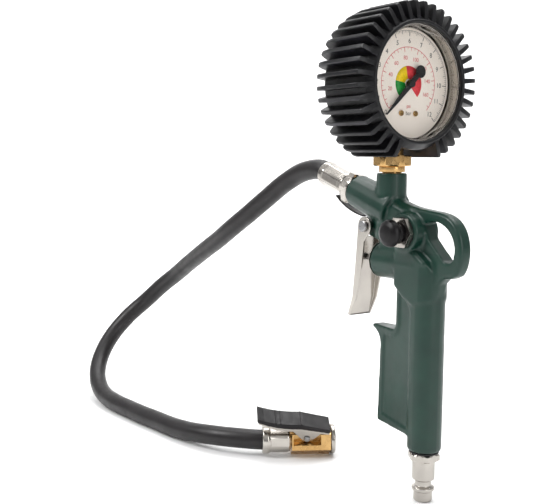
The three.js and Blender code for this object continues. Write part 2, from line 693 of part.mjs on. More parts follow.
function addChuckLever() {
  const sheet = 0.9;
  const side = new THREE.Shape();
  side.moveTo(...LEVER_TOP[0]);
  LEVER_TOP.slice(1).forEach((point) => side.lineTo(...point));
  [[40, 8.9], [34.5, 9.6], [29.2, 3.8], [24.6, 3.8], [18, 12], [8, 13.2], [-2.6, 18.2]]
    .forEach((point) => side.lineTo(...point));
  side.closePath();
  const inside = outline([
    ...LEVER_TOP.map(([x, z]) => [x, z - sheet]),
    [41, 2], [-5, 2],
  ]);
  const channel = cut(
    joined(sideways(side, CHUCK_LEVER_WIDTH)),
    sideways(inside, CHUCK_LEVER_WIDTH - 2 * sheet + 0.4),
    aim(bar(RIVET_RADIUS + GAP, -8, 8, 12), AT_LEVER_PIVOT, RIGHT),
  );
  const tooth = block(38, 39, -2.2, 2.2, 4.6, 9.8);
  piece('chuck_lever', 'nickel', channel.add(solidOf(tooth)), chuck);
  const grip = new THREE.Shape();
  grip.moveTo(-3.6, 20);
  grip.lineTo(-3.6, 22.4);
  grip.quadraticCurveTo(8, 17.4, 22, 17.4);
  grip.lineTo(24, 17);
  grip.lineTo(40.4, 12.4);
  grip.lineTo(40.4, 10.1);
  [...LEVER_TOP].reverse().slice(1, -1).forEach(([x, z]) => grip.lineTo(x, z + GAP));
  grip.closePath();
  piece('chuck_lever_grip', 'plastic', sideways(grip, CHUCK_LEVER_WIDTH + 0.8, 0, 6), chuck);
  const reach = CHUCK_LEVER_WIDTH / 2 + GAP;
  const head = 0.9;
  const rivet = [
    [0, -reach - head], [1.6, -reach - head], [2, -reach], [RIVET_RADIUS, -reach],
    [RIVET_RADIUS, reach], [2, reach], [1.6, reach + head], [0, reach + head],
  ];
  piece('chuck_rivet', 'steel', aim(turned(rivet, 12), AT_LEVER_PIVOT, RIGHT), chuck);
  const leverSpring = spring(1.8, 0.3, 4.1, 4).translate(21, 0, 8.5);
  piece('chuck_lever_spring', 'steel', leverSpring, chuck);
}

// ---------------------------------------------------------------- gauge

const GAUGE_LINE = new THREE.Vector3(0, 0, GAUGE_HEIGHT);

function alongGauge(geometry) {
  return aim(geometry, GAUGE_LINE, BACK);
}

// Places on the gauge's face, as [y, z] from the pointer's axis.
const MOVEMENT_SCREWS = [[-4, -23.6], [4, -23.6]];
const DIAL_SCREWS = [[-5, -15.3], [5, -15.3]];
const PILLARS = [[-8.5, -13], [8.5, -1]];

// Puts a shape made about +Z on a line along X through a point of the gauge's face.
function onGauge(geometry, y, z) {
  return aim(geometry, new THREE.Vector3(0, y, GAUGE_HEIGHT + z), BACK);
}

function addProtector() {
  const sleeveProfile = [
    [29.6, -8.4], [31.4, -8.4], [34.4, -12.4], [34.4, -46.4],
    [25, -46.4], [25, -44.6], [31.4, -44.6], [31.4, -10.9], [29.6, -10.9], [29.6, -8.4],
  ];
  const shell = solidOf(alongGauge(turned(sleeveProfile, 40)));
  const finSide = outline([
    [31.2, -12], [31.2, -9], [FIN_RADIUS - 1, -10], [FIN_RADIUS, -11.2],
    [FIN_RADIUS, -38], [FIN_RADIUS - 1.6, -45.8], [33.8, -45.8], [33.8, -14],
  ]);
  let whole = shell;
  for (let i = 0; i < FIN_COUNT; i += 1) {
    const angle = 2 * Math.PI * (i + 0.5) / FIN_COUNT;
    const overStem = Math.cos(angle) > 0 && Math.abs(FIN_RADIUS * Math.sin(angle)) < STEM_OPENING;
    if (overStem) {
      continue;
    }
    const settings = { depth: FIN_THICKNESS, bevelEnabled: false };
    const fin = new THREE.ExtrudeGeometry(finSide, settings);
    fin.translate(0, 0, -FIN_THICKNESS / 2).rotateX(Math.PI / 2);
    fin.rotateZ(angle);
    whole = whole.add(solidOf(alongGauge(fin)));
  }
  const slot = aim(bar(STEM_OPENING, 170, 191, 20), new THREE.Vector3(GAUGE_AXIS_X, 0, 0), UP);
  const flat = GAUGE_HEIGHT - PROTECTOR_FLAT;
  const below = block(-60, 0, -40, 40, flat - 10, flat);
  piece('gauge_protector', 'rubber', cut(whole, slot, below));
}

function addCase() {
  const wall = 1.6;
  const inner = CASE_RADIUS - wall;
  const cup = alongGauge(turned([
    [0, CASE_BACK], [CASE_RADIUS - 1.5, CASE_BACK], [CASE_RADIUS, CASE_BACK + 1.5],
    [CASE_RADIUS, CASE_FRONT - 0.6], [CASE_RADIUS - 0.6, CASE_FRONT], [inner, CASE_FRONT],
    [inner, CASE_BACK + wall], [0, CASE_BACK + wall],
  ], 28));
  const stemHole = aim(bar(6.5, 184, 192, 16), new THREE.Vector3(GAUGE_AXIS_X, 0, 0), UP);
  piece('gauge_case', 'steel', cut(solidOf(cup), stemHole));
  const lens = [
    [0, -13.3], [28.2, -13.3], [28.2, -18.2], [29.1, -18.2], [29.1, -12], [28.6, -11.5], [0, -11.5],
  ];
  piece('gauge_window', 'clear', alongGauge(turned(lens, 24)));
}

// The brass stem: a threaded end, a collar, a hexagon, a neck and the block that carries the
// pressure tube and the movement.
function addStem() {
  const upright = (geometry) => aim(geometry, new THREE.Vector3(GAUGE_AXIS_X, 0, 0), UP);
  const shank = turned([
    [0, 160.2], [6.2, 160.2], [6.2, 171], [5.2, 171.4], [5.2, GAUGE_BOSS_TOP + GAP],
    [7, GAUGE_BOSS_TOP + GAP], [7, 175.2], [8.6, 175.2], [8.6, 181], [6, 181], [6, 191], [0, 191],
  ]);
  const hex = hexagon(20, 175.2, 181).rotateZ(THREE.MathUtils.degToRad(-12));
  const carrier = block(-34, -26, -7, 7, 190, 199);
  const stem = cut(
    joined(upright(shank), upright(hex), carrier),
    upright(bar(2.5, 159, 165.5, 12)),
    upright(bar(1.5, 160, 197.7, 10)),
    aim(bar(0.9, -8, 0.5, 8), new THREE.Vector3(GAUGE_AXIS_X, 0, 197.7), RIGHT),
    ...MOVEMENT_SCREWS.map(([y, z]) => onGauge(bar(1.3, -30, -25, 10), y, z)),
  );
  piece('gauge_stem', 'brass', stem);
  piece('gauge_stem_seal', 'rubber', upright(sleeve(2.8, 6.2, 159.1, 159.9, 16)));
  piece('restrictor_screw', 'brass', upright(sleeve(0.5, 2.2, 160.6, 165, 12)));
}

// A ring-shaped band between two angles.
function band(inner, outer, from, to) {
  const shape = new THREE.Shape();
  shape.absarc(0, 0, outer, from, to, false);
  shape.absarc(0, 0, inner, to, from, true);
  shape.closePath();
  return shape;
}

// The pressure tube: a flattened tube bent into a C, open at its root and capped at its tip.
function addPressureTube() {
  const radians = THREE.MathUtils.degToRad;
  const outside = facing(band(20.2, 22.6, radians(-20), radians(249)), -33.5, -26.5, 14);
  const inside = facing(band(20.8, 22, radians(-19), radians(251)), -32.9, -27.1, 14);
  piece('bourdon_tube', 'brass', cut(solidOf(outside), inside));
  const cap = facing(band(20, 22.8, radians(-28.5), radians(-20.7)), -33.5, -24.7, 4);
  const pin = onGauge(bar(0.6, -25, -23.3, 10), TUBE_TIP.x, TUBE_TIP.y);
  piece('bourdon_tube_tip', 'brass', joined(cap, pin));
}

// The corners of one gear tooth, as [x, y] points about the gear's centre.
function toothCorners(pitchRadius, angle) {
  const root = pitchRadius - 1.25 * GEAR_MODULE;
  const tip = pitchRadius + GEAR_MODULE;
  const rootHalf = 0.22 / root;
  const tipHalf = 0.08 / tip;
  return [
    [root, angle - rootHalf], [tip, angle - tipHalf], [tip, angle + tipHalf], [root, angle + rootHalf],
  ].map(([radius, turn]) => [radius * Math.cos(turn), radius * Math.sin(turn)]);
}

function addArbor() {
  const corners = [];
  for (let i = 0; i < PINION_TEETH; i += 1) {
    const angle = 2 * Math.PI * (i + 0.5) / PINION_TEETH - Math.PI / 2;
    corners.push(...toothCorners(PINION_PITCH_RADIUS, angle));
  }
  const pinion = facing(outline(corners), -24.2, -22.6);
  const shaft = alongGauge(turned([
    [0, -25.6], [0.6, -25.6], [0.6, -23], [1, -23], [1, -21.5], [0.6, -21.5], [0.6, -16],
    [0, -16],
  ], 10));
  piece('pinion_arbor', 'brass', joined(pinion, shaft));
}

function addSector() {
  const pitch = 2 * Math.PI / (PINION_TEETH * GEAR_RATIO);
  const middle = Math.PI / 2 + SECTOR_REST;
  const teeth = 12;
  const fanPoints = [[0.8, -1.4], [1.2, 0]];
  const placed = ([x, y]) => [x, y - SECTOR_PIVOT_DROP];
  for (let i = 0; i < teeth; i += 1) {
    const angle = middle + pitch * (i - (teeth - 1) / 2);
    fanPoints.push(...toothCorners(SECTOR_PITCH_RADIUS, angle));
  }
  fanPoints.push([-1.2, 0]);
  const back = -23.5;
  const front = -22.7;
  const fan = facing(outline(fanPoints.map(placed)), back, front);
  const opening = band(5, 10.4, middle - 0.24, middle + 0.24);
  const window = facing(opening, back - 1, front + 1, 6).translate(0, 0, -SECTOR_PIVOT_DROP);
  const pivot = new THREE.Vector2(0, -SECTOR_PIVOT_DROP);
  const tail = facing(outline([
    [-0.6, pivot.y - 1], [TAIL_PIN.x - 0.7, TAIL_PIN.y - 0.8],
    [TAIL_PIN.x + 0.7, TAIL_PIN.y + 0.8], [0.8, pivot.y + 0.8],
  ]), back, front);
  const whole = joined(
    fan,
    tail,
    onGauge(bar(1.8, back, front, 12), 0, pivot.y),
    onGauge(bar(1.2, back, front, 10), TAIL_PIN.x, TAIL_PIN.y),
    onGauge(bar(0.8, -25.6, -20.2, 10), 0, pivot.y),
    onGauge(bar(0.6, -24.45, back + 0.2, 10), TAIL_PIN.x, TAIL_PIN.y),
  );
  piece('sector_gear', 'brass', cut(whole, window));
}

function addLink() {
  const along = TUBE_TIP.clone().sub(TAIL_PIN).normalize();
  const across = new THREE.Vector2(-along.y, along.x).multiplyScalar(0.7);
  const strip = outline([
    [TAIL_PIN.x + across.x, TAIL_PIN.y + across.y], [TAIL_PIN.x - across.x, TAIL_PIN.y - across.y],
    [TUBE_TIP.x - across.x, TUBE_TIP.y - across.y], [TUBE_TIP.x + across.x, TUBE_TIP.y + across.y],
  ]);
  const back = -24.4;
  const front = -23.8;
  const ends = [TAIL_PIN, TUBE_TIP];
  const whole = joined(
    facing(strip, back, front),
    ...ends.map((end) => onGauge(bar(1.5, back, front, 12), end.x, end.y)),
  );
  const holes = ends.map((end) => onGauge(bar(0.6 + GAP, back - 1, front + 1, 10), end.x, end.y));
  piece('tube_link', 'brass', cut(whole, ...holes));
}

// The two plates that the gears run between, held apart by pillars.
function addPlates() {
  const upperEdge = [[11, -3], [9.5, 2], [3, 4], [-3, 4], [-11, -11], [-10.5, -15.5]];
  const rear = outline([[-6.5, -26.5], [6.5, -26.5], [6.5, -18], ...upperEdge, [-6.5, -18]]);
  const front = outline([[-6.8, -17.6], [6.8, -17.6], ...upperEdge]);
  const arborHole = onGauge(bar(0.6 + GAP, -27, -19, 10), 0, 0);
  const sectorHole = onGauge(bar(0.8 + GAP, -27, -19, 10), 0, -SECTOR_PIVOT_DROP);
  piece('movement_rear_plate', 'brass', cut(
    solidOf(facing(rear, -25.7, -24.7)),
    arborHole,
    sectorHole,
    ...MOVEMENT_SCREWS.map(([y, z]) => onGauge(bar(1.3, -27, -24, 10), y, z)),
  ));
  const stud = onGauge(bar(0.5, -22.4, -20.5, 8), 6.4, 0);
  piece('movement_front_plate', 'brass', cut(
    joined(facing(front, -20.9, -20.1), stud),
    arborHole,
    sectorHole,
    ...DIAL_SCREWS.map(([y, z]) => onGauge(bar(0.6 + GAP, -22, -19.5, 10), y, z)),
  ));
  PILLARS.forEach(([y, z], index) => {
    piece(`movement_pillar_${index + 1}`, 'brass', onGauge(bar(1.3, -24.65, -20.95, 12), y, z));
  });
  MOVEMENT_SCREWS.forEach(([y, z], index) => {
    const screw = turned([
      [0, -29.5], [1, -29.5], [1, -24.65], [2, -24.65], [2, -23.6], [0, -23.6],
    ], 12);
    piece(`movement_screw_${index + 1}`, 'brass', onGauge(screw, y, z));
  });
}

// The hairspring: a flat spiral round the pinion's arbor.
function addHairspring() {
  const turns = 3;
  const steps = turns * 10;
  const thickness = 0.25;
  const spiral = (extra) => (_, i) => {
    const angle = 2 * Math.PI * turns * i / steps;
    const radius = 1.3 + 4.3 * i / steps + extra;
    return [radius * Math.cos(angle), radius * Math.sin(angle)];
  };
  const outer = Array.from({ length: steps + 1 }, spiral(thickness));
  const inner = Array.from({ length: steps + 1 }, spiral(0)).reverse();
  piece('hairspring', 'steel', facing(outline([...outer, ...inner]), -22.3, -21.7));
}

function addDial() {
  const disc = alongGauge(bar(28.5, -19.3, -18.5, 28));
  const arborHole = alongGauge(bar(1.6, -20, -18, 12));
  const screwHoles = DIAL_SCREWS.map(([y, z]) => onGauge(bar(0.6 + GAP, -20, -18, 10), y, z));
  piece('dial_plate', 'dial', cut(solidOf(disc), arborHole, ...screwHoles));
  DIAL_SCREWS.forEach(([y, z], index) => {
    const screw = turned([
      [0, -21.2], [0.6, -21.2], [0.6, -18.4], [1.5, -18.4], [1.5, -17.6], [0, -17.6],
    ], 12);
    piece(`dial_screw_${index + 1}`, 'brass', onGauge(screw, y, z));
  });
}

// The pointer is drawn along +Y and turned to the start of the scale, down and to the left.
function addPointer() {
  const back = -16.6;
  const front = -16;
  const weightAt = -9;
  const length = 23.4;
  const blade = outline([
    [0, -1.5], [length, -0.3], [length, 0.3], [0, 1.5], [weightAt, 1.2], [weightAt, -1.2],
  ]);
  const whole = joined(
    facing(blade, back, front),
    onGauge(bar(3.3, back, front, 18), weightAt, 0),
    onGauge(bar(2.1, -17.4, -15.2, 14), 0, 0),
  );
  const atRest = cut(whole, onGauge(bar(0.7, -18, -15.7, 10), 0, 0));
  const turn = new THREE.Matrix4().makeRotationX(THREE.MathUtils.degToRad(225));
  const geometry = geometryOf(atRest).translate(0, 0, -GAUGE_HEIGHT).applyMatrix4(turn);
  piece('pointer', 'pointerBlack', geometry.translate(0, 0, GAUGE_HEIGHT));
}

// ---------------------------------------------------------------- the whole tool

piece('body_casting', 'castGreen', castBody());
addAirPlug();
addMainValve();
addBleedButton();
addTrigger();
addHose();
addHoseUnion();
addChuck();
addChuckLever();
addProtector();
addCase();
addStem();
addPressureTube();
addArbor();
addSector();
addLink();
addPlates();
addHairspring();
addDial();
addPointer();

const inflator = new THREE.Group();
inflator.name = 'tyre_inflator';
inflator.add(tool);

export default inflator;
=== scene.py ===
import json
import math

import bmesh
import bpy
from mathutils import Matrix, Vector

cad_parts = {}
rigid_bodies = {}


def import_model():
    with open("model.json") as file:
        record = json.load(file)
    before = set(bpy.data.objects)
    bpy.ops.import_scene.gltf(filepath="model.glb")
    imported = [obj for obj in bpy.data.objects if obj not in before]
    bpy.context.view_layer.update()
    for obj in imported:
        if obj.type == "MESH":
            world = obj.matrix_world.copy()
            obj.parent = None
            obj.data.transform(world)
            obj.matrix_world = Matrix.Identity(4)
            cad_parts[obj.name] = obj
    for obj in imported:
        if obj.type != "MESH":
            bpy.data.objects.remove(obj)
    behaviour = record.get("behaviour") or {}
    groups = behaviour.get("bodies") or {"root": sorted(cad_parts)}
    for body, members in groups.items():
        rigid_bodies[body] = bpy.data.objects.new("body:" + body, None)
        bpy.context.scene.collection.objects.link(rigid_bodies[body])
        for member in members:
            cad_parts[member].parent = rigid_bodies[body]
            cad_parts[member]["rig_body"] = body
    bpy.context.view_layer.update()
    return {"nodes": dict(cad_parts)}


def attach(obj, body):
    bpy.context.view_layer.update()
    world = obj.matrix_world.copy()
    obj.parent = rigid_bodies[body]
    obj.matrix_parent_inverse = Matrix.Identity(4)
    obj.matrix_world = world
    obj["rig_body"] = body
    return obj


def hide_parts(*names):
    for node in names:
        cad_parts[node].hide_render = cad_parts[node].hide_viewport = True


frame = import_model()
NODES = frame["nodes"]
scene = bpy.context.scene

# ---------------------------------------------------------------- places
# Sizes below are in millimetres with heights from the tip of the air plug. mm() turns a point
# into metres in the part's frame, whose origin is in the middle of the grip.

ORIGIN_HEIGHT = 80.0
GAUGE_HEIGHT = 218.0
HOSE_SLOPE = math.radians(18)
HOSE_BOSS_END = Vector((-58.1, 0, 161.3))
OUT = Vector((-math.cos(HOSE_SLOPE), 0, math.sin(HOSE_SLOPE)))
CHUCK_AT = Vector((-104.3, -33, 9.6))
CHUCK_YAW = math.radians(60)
CHUCK_ROLL = math.radians(28)
FERRULE_END = 30


def mm(x, y, z):
    return Vector((x, y, z - ORIGIN_HEIGHT)) / 1000


def along(direction, at):
    """Matrix that takes local +Z, in millimetres, to a direction from a point."""
    turn = Vector((0, 0, 1)).rotation_difference(direction).to_matrix().to_4x4()
    return Matrix.Translation(mm(*at)) @ turn @ Matrix.Scale(0.001, 4)


BACKWARD = along(Vector((1, 0, 0)), (0, 0, GAUGE_HEIGHT))
UPWARD = along(Vector((0, 0, 1)), (0, 0, 0))
HOSE_LINE = along(OUT, HOSE_BOSS_END)
CHUCK = (
    Matrix.Translation(mm(*CHUCK_AT))
    @ Matrix.Rotation(CHUCK_YAW, 4, "Z")
    @ Matrix.Rotation(CHUCK_ROLL, 4, "X")
    @ Matrix.Scale(0.001, 4)
)
CHUCK_LINE = CHUCK @ Matrix.Rotation(math.pi / 2, 4, "Y")
STEM_LINE = along(Vector((0, 0, 1)), (-29.8, 0, 0))
BLEED_LINE = along(Vector((0, 1, 0)), (-9.5, 0, 141.4))


# ---------------------------------------------------------------- camera

CAMERA_AT = mm(319, -314, 179)
AZIMUTH = math.radians(55.3)
PITCH = math.radians(6.2)
ROLL = math.radians(0.5)
SENSOR_WIDTH = 36
LENS = 55.607

forward = Vector(
    (-math.sin(AZIMUTH) * math.cos(PITCH), math.cos(AZIMUTH) * math.cos(PITCH), -math.sin(PITCH))
)
level = Vector((math.cos(AZIMUTH), math.sin(AZIMUTH), 0))
upright = level.cross(forward)
right = level * math.cos(ROLL) + upright * math.sin(ROLL)
top = upright * math.cos(ROLL) - level * math.sin(ROLL)
camera = bpy.data.objects.new("camera", bpy.data.cameras.new("camera"))
scene.collection.objects.link(camera)
camera.data.sensor_width = SENSOR_WIDTH
camera.data.lens = LENS
camera.data.clip_start = 0.01
camera.data.clip_end = 20
camera.matrix_world = Matrix.Translation(CAMERA_AT) @ Matrix(
    (
        (right.x, top.x, -forward.x),
        (right.y, top.y, -forward.y),
        (right.z, top.z, -forward.z),
    )
).to_4x4()
scene.camera = camera


# ---------------------------------------------------------------- materials


MIX_FIRST = 6
MIX_SECOND = 7
MIX_RESULT = 2


class Look:
    """A procedural material: a principled shader with noise-driven colour, roughness and bump."""

    def __init__(self, name, color, roughness, metallic=0.0):
        self.material = bpy.data.materials.new(name)
        self.material.use_nodes = True
        self.tree = self.material.node_tree
        self.shader = self.tree.nodes["Principled BSDF"]
        self.shader.inputs["Base Color"].default_value = (*color, 1)
        self.shader.inputs["Roughness"].default_value = roughness
        self.shader.inputs["Metallic"].default_value = metallic
        self.place = self.tree.nodes.new("ShaderNodeTexCoord").outputs["Object"]
        self.height = None

    def node(self, kind, **settings):
        made = self.tree.nodes.new(kind)
        for key, value in settings.items():
            setattr(made, key, value)
        return made

    def link(self, source, target):
        self.tree.links.new(source, target)

    def noise(self, scale, detail=4.0):
        made = self.node("ShaderNodeTexNoise")
        made.inputs["Scale"].default_value = scale
        made.inputs["Detail"].default_value = detail
        self.link(self.place, made.inputs["Vector"])
        return made.outputs["Fac"]

    def ranged(self, value, low, high, start=0.3, end=0.7):
        made = self.node("ShaderNodeMapRange")
        made.inputs["From Min"].default_value = start
        made.inputs["From Max"].default_value = end
        made.inputs["To Min"].default_value = low
        made.inputs["To Max"].default_value = high
        self.link(value, made.inputs["Value"])
        return made.outputs["Result"]

    def tint(self, factor, color):
        """Blends the base colour towards another one by a factor."""
        base = self.shader.inputs["Base Color"]
        made = self.node("ShaderNodeMix", data_type="RGBA")
        self.link(factor, made.inputs["Factor"])
        made.inputs[MIX_FIRST].default_value = base.default_value
        if base.is_linked:
            self.link(base.links[0].from_socket, made.inputs[MIX_FIRST])
        made.inputs[MIX_SECOND].default_value = (*color, 1)
        self.link(made.outputs[MIX_RESULT], base)

    def vary_roughness(self, scale, low, high):
        self.link(self.ranged(self.noise(scale, 5), low, high), self.shader.inputs["Roughness"])
        return self

    def bump(self, scale, depth, detail=4.0):
        """Adds surface relief of a depth in metres."""
        made = self.node("ShaderNodeBump")
        made.inputs["Strength"].default_value = 1
        made.inputs["Distance"].default_value = depth
        self.link(self.noise(scale, detail), made.inputs["Height"])
        if self.height is not None:
            self.link(self.height, made.inputs["Normal"])
        self.height = made.outputs["Normal"]
        self.link(self.height, self.shader.inputs["Normal"])
        return self

    def edge(self):
        """1 on worn outside edges and 0 elsewhere."""
        made = self.node("ShaderNodeNewGeometry")
        return self.ranged(made.outputs["Pointiness"], 0, 1, 0.53, 0.62)

    def wear(self, color, amount, patches=0.012):
        """Rubs the edges towards another colour, in patches of a size in metres."""
        rubbed = self.node("ShaderNodeMath", operation="MULTIPLY")
        self.link(self.edge(), rubbed.inputs[0])
        self.link(self.ranged(self.noise(1 / patches), 0, amount), rubbed.inputs[1])
        self.tint(rubbed.outputs[0], color)
        return self

    def mottle(self, color, scale, amount):
        """Adds cloudy patches of another colour."""
        self.tint(self.ranged(self.noise(scale), 0, amount), color)
        return self

    def specular(self, level):
        self.shader.inputs["Specular IOR Level"].default_value = level
        return self

    def coat(self, weight, roughness):
        self.shader.inputs["Coat Weight"].default_value = weight
        self.shader.inputs["Coat Roughness"].default_value = roughness
        return self


def shade(r, g, b):
    """Linear colour from display values of 0 to 255."""
    return tuple(((v / 255 + 0.055) / 1.055) ** 2.4 if v > 10 else v / 255 / 12.92 for v in (r, g, b))


CAST = (
    Look("cast_green_coat", shade(9, 50, 39), 0.4)
    .mottle(shade(6, 40, 32), 90, 0.8)
    .wear(shade(60, 100, 84), 0.3)
    .vary_roughness(160, 0.32, 0.46)
    .bump(420, 0.00003, 2)
    .bump(1500, 0.00001, 2)
    .specular(0.4)
    .coat(0.12, 0.3)
)
RUBBER = (
    Look("moulded_rubber", shade(13, 13, 16), 0.45)
    .specular(0.35)
    .mottle(shade(8, 8, 10), 60, 0.8)
    .wear(shade(64, 62, 72), 0.4, 0.02)
    .vary_roughness(220, 0.3, 0.5)
    .bump(1400, 0.00003, 3)
)
HOSE = (
    Look("hose_rubber", shade(24, 20, 22), 0.42)
    .specular(0.4)
    .mottle(shade(15, 13, 14), 45, 0.9)
    .vary_roughness(120, 0.32, 0.52)
    .bump(1800, 0.00004, 3)
)
PLASTIC = (
    Look("black_plastic", shade(12, 10, 12), 0.38)
    .specular(0.24)
    .wear(shade(92, 84, 88), 0.6)
    .vary_roughness(300, 0.28, 0.45)
    .bump(2200, 0.00001, 2)
)
NICKEL = (
    Look("nickel_plate", shade(186, 181, 174), 0.2, 1)
    .mottle(shade(160, 155, 150), 70, 0.6)
    .vary_roughness(120, 0.15, 0.27)
    .bump(900, 0.000003, 2)
)
STEEL = (
    Look("plain_steel", shade(168, 168, 168), 0.28, 1)
    .mottle(shade(140, 140, 142), 120, 0.7)
    .vary_roughness(200, 0.2, 0.36)
    .bump(900, 0.000004, 2)
)
BRASS = (
    Look("turned_brass", shade(204, 166, 110), 0.26, 1)
    .mottle(shade(172, 134, 84), 90, 0.7)
    .wear(shade(236, 212, 166), 0.5)
    .vary_roughness(200, 0.18, 0.34)
    .bump(900, 0.000004, 2)
)
BEZEL = (
    Look("bezel_chrome", shade(196, 190, 182), 0.16, 1)
    .mottle(shade(180, 174, 168), 40, 0.5)
    .vary_roughness(60, 0.12, 0.22)
    .bump(300, 0.000003, 1)
)
DIAL = (
    Look("dial_enamel", shade(240, 229, 218), 0.45)
    .mottle(shade(236, 224, 213), 60, 0.7)
    .vary_roughness(300, 0.38, 0.5)
    .bump(2500, 0.000004, 2)
)


def ink(name, r, g, b):
    """Printing ink with thinner, darker specks."""
    dark = 0.85
    made = Look(name, shade(r, g, b), 0.5)
    made.mottle(shade(r * dark, g * dark, b * dark), 900, 0.8).vary_roughness(700, 0.42, 0.58)
    return made


INK_BLACK = ink("ink_black", 30, 28, 30)
INK_RED = ink("ink_red", 232, 62, 70)
INK_PINK = ink("ink_scale_red", 222, 76, 84)
INK_GREEN = ink("ink_green", 0, 146, 46)
INK_YELLOW = ink("ink_yellow", 252, 214, 0)
POINTER = (
    Look("pointer_paint", shade(18, 17, 18), 0.4)
    .vary_roughness(500, 0.34, 0.5)
    .bump(2500, 0.000005)
)


WINDOW_TINT = (0.975, 0.98, 0.98)
WINDOW_IOR = 1.12


def clear_look():
    """Thin clear plastic: see-through, with a faint reflection that grows towards its rim."""
    made = bpy.data.materials.new("clear_window")
    made.use_nodes = True
    tree = made.node_tree
    tree.nodes.clear()
    output = tree.nodes.new("ShaderNodeOutputMaterial")
    blend = tree.nodes.new("ShaderNodeMixShader")
    through = tree.nodes.new("ShaderNodeBsdfTransparent")
    shine = tree.nodes.new("ShaderNodeBsdfGlossy")
    fresnel = tree.nodes.new("ShaderNodeFresnel")
    noise = tree.nodes.new("ShaderNodeTexNoise")
    noise.inputs["Scale"].default_value = 60
    bump = tree.nodes.new("ShaderNodeBump")
    bump.inputs["Distance"].default_value = 0.00001
    through.inputs["Color"].default_value = (*WINDOW_TINT, 1)
    shine.inputs["Roughness"].default_value = 0.04
    fresnel.inputs["IOR"].default_value = WINDOW_IOR
    tree.links.new(noise.outputs["Fac"], bump.inputs["Height"])
    tree.links.new(bump.outputs["Normal"], shine.inputs["Normal"])
    tree.links.new(fresnel.outputs["Fac"], blend.inputs["Fac"])
    tree.links.new(through.outputs["BSDF"], blend.inputs[1])
    tree.links.new(shine.outputs["BSDF"], blend.inputs[2])
    tree.links.new(blend.outputs["Shader"], output.inputs["Surface"])
    return made


CLEAR = clear_look()


def paint(obj, look):
    obj.data.materials.clear()
    obj.data.materials.append(look.material if isinstance(look, Look) else look)
    return obj


# ---------------------------------------------------------------- shapes


WELD = 1e-7
CAD_WELD = 2e-6


def cleaned(bm, weld=WELD):
    """Joins coincident corners and turns every face outwards."""
    bmesh.ops.remove_doubles(bm, verts=bm.verts, dist=weld)
    bmesh.ops.recalc_face_normals(bm, faces=bm.faces)
    return bm


def mesh_from(name, bm):
    mesh = bpy.data.meshes.new(name)
    bm.to_mesh(mesh)
    bm.free()
    return mesh


def placed(name, data):
    """An object of the scene with the given mesh or curve."""
    obj = bpy.data.objects.new(name, data)
    scene.collection.objects.link(obj)
    return obj


def finished(name, bm, body, look, replaced=(), smooth=35, matrix=None):
    """Makes a piece from a bmesh, with soft shading up to an angle in degrees."""
    if matrix is not None:
        bm.transform(matrix)
    mesh = mesh_from(name, cleaned(bm))
    mesh.shade_smooth()
    mesh.set_sharp_from_angle(angle=math.radians(smooth))
    obj = paint(placed(name, mesh), look)
    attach(obj, body)
    if replaced:
        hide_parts(*replaced)
    return obj


def lathe(bm, profile, segments=96, wobble=None):
    """Turns a closed or axis-to-axis profile of (radius, height) about local +Z."""
    rings = []
    for i in range(segments):
        a = 2 * math.pi * i / segments
        ring = []
        for j, (radius, height) in enumerate(profile):
            r = wobble(j, a, radius) if wobble else radius
            ring.append(bm.verts.new((r * math.cos(a), r * math.sin(a), height)))
        rings.append(ring)
    for i in range(segments):
        here, there = rings[i], rings[(i + 1) % segments]
        for j in range(len(profile) - 1):
            corners = [here[j], here[j + 1], there[j + 1], there[j]]
            if profile[j][0] == 0:
                corners = [here[j], here[j + 1], there[j + 1]]
            if profile[j + 1][0] == 0:
                corners = [here[j], here[j + 1], there[j]]
            bm.faces.new(corners)


def rounded(profile, radius):
    """Rounds each corner of an open profile, leaving its first and last point."""
    steps = 3
    longest = 0.45
    out = [profile[0]]
    for before, corner, after in zip(profile, profile[1:], profile[2:]):
        c = Vector(corner)
        a, b = Vector(before) - c, Vector(after) - c
        reach = min(radius, a.length * longest, b.length * longest)
        start, end = c + a.normalized() * reach, c + b.normalized() * reach
        for k in range(steps + 1):
            t = k / steps
            p = start * (1 - t) ** 2 + c * 2 * t * (1 - t) + end * t**2
            out.append((p.x, p.y))
    out.append(profile[-1])
    return out


def turned(name, profile, matrix, body, look, replaced=(), segments=96, round_by=0.25, wobble=None):
    """A piece turned from a profile, with its corners rounded by a radius."""
    bm = bmesh.new()
    lathe(bm, rounded(profile, round_by), segments, wobble)
    return finished(name, bm, body, look, replaced, matrix=matrix)


def bevelled(obj, width, segments=3, angle=28):
    """Rounds an object's edges that are sharper than an angle in degrees."""
    made = obj.modifiers.new("soft_edges", "BEVEL")
    made.width = width / 1000
    made.segments = segments
    made.limit_method = "ANGLE"
    made.angle_limit = math.radians(angle)
    made.harden_normals = True
    return obj


def from_node(node):
    """A bmesh of a CAD node with its coincident corners joined."""
    bm = bmesh.new()
    bm.from_mesh(NODES[node].data)
    bmesh.ops.remove_doubles(bm, verts=bm.verts, dist=CAD_WELD)
    return bm


def refined(node, look, width, smooth=40, segments=3):
    """The piece for a CAD node: the same shape with clean faces and rounded edges."""
    flatness = math.radians(1.5)
    bm = from_node(node)
    bmesh.ops.dissolve_limit(
        bm, angle_limit=flatness, verts=bm.verts, edges=bm.edges, use_dissolve_boundaries=False
    )
    body = NODES[node]["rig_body"]
    obj = finished(f"{node}_detail", bm, body, look, (node,), smooth)
    if width:
        bevelled(obj, width, segments, smooth - 8)
    return obj


def settled(obj):
    """Applies an object's modifiers to its mesh."""
    bpy.context.view_layer.update()
    graph = bpy.context.evaluated_depsgraph_get()
    made = bpy.data.meshes.new_from_object(obj.evaluated_get(graph))
    obj.modifiers.clear()
    obj.data = made
    return obj


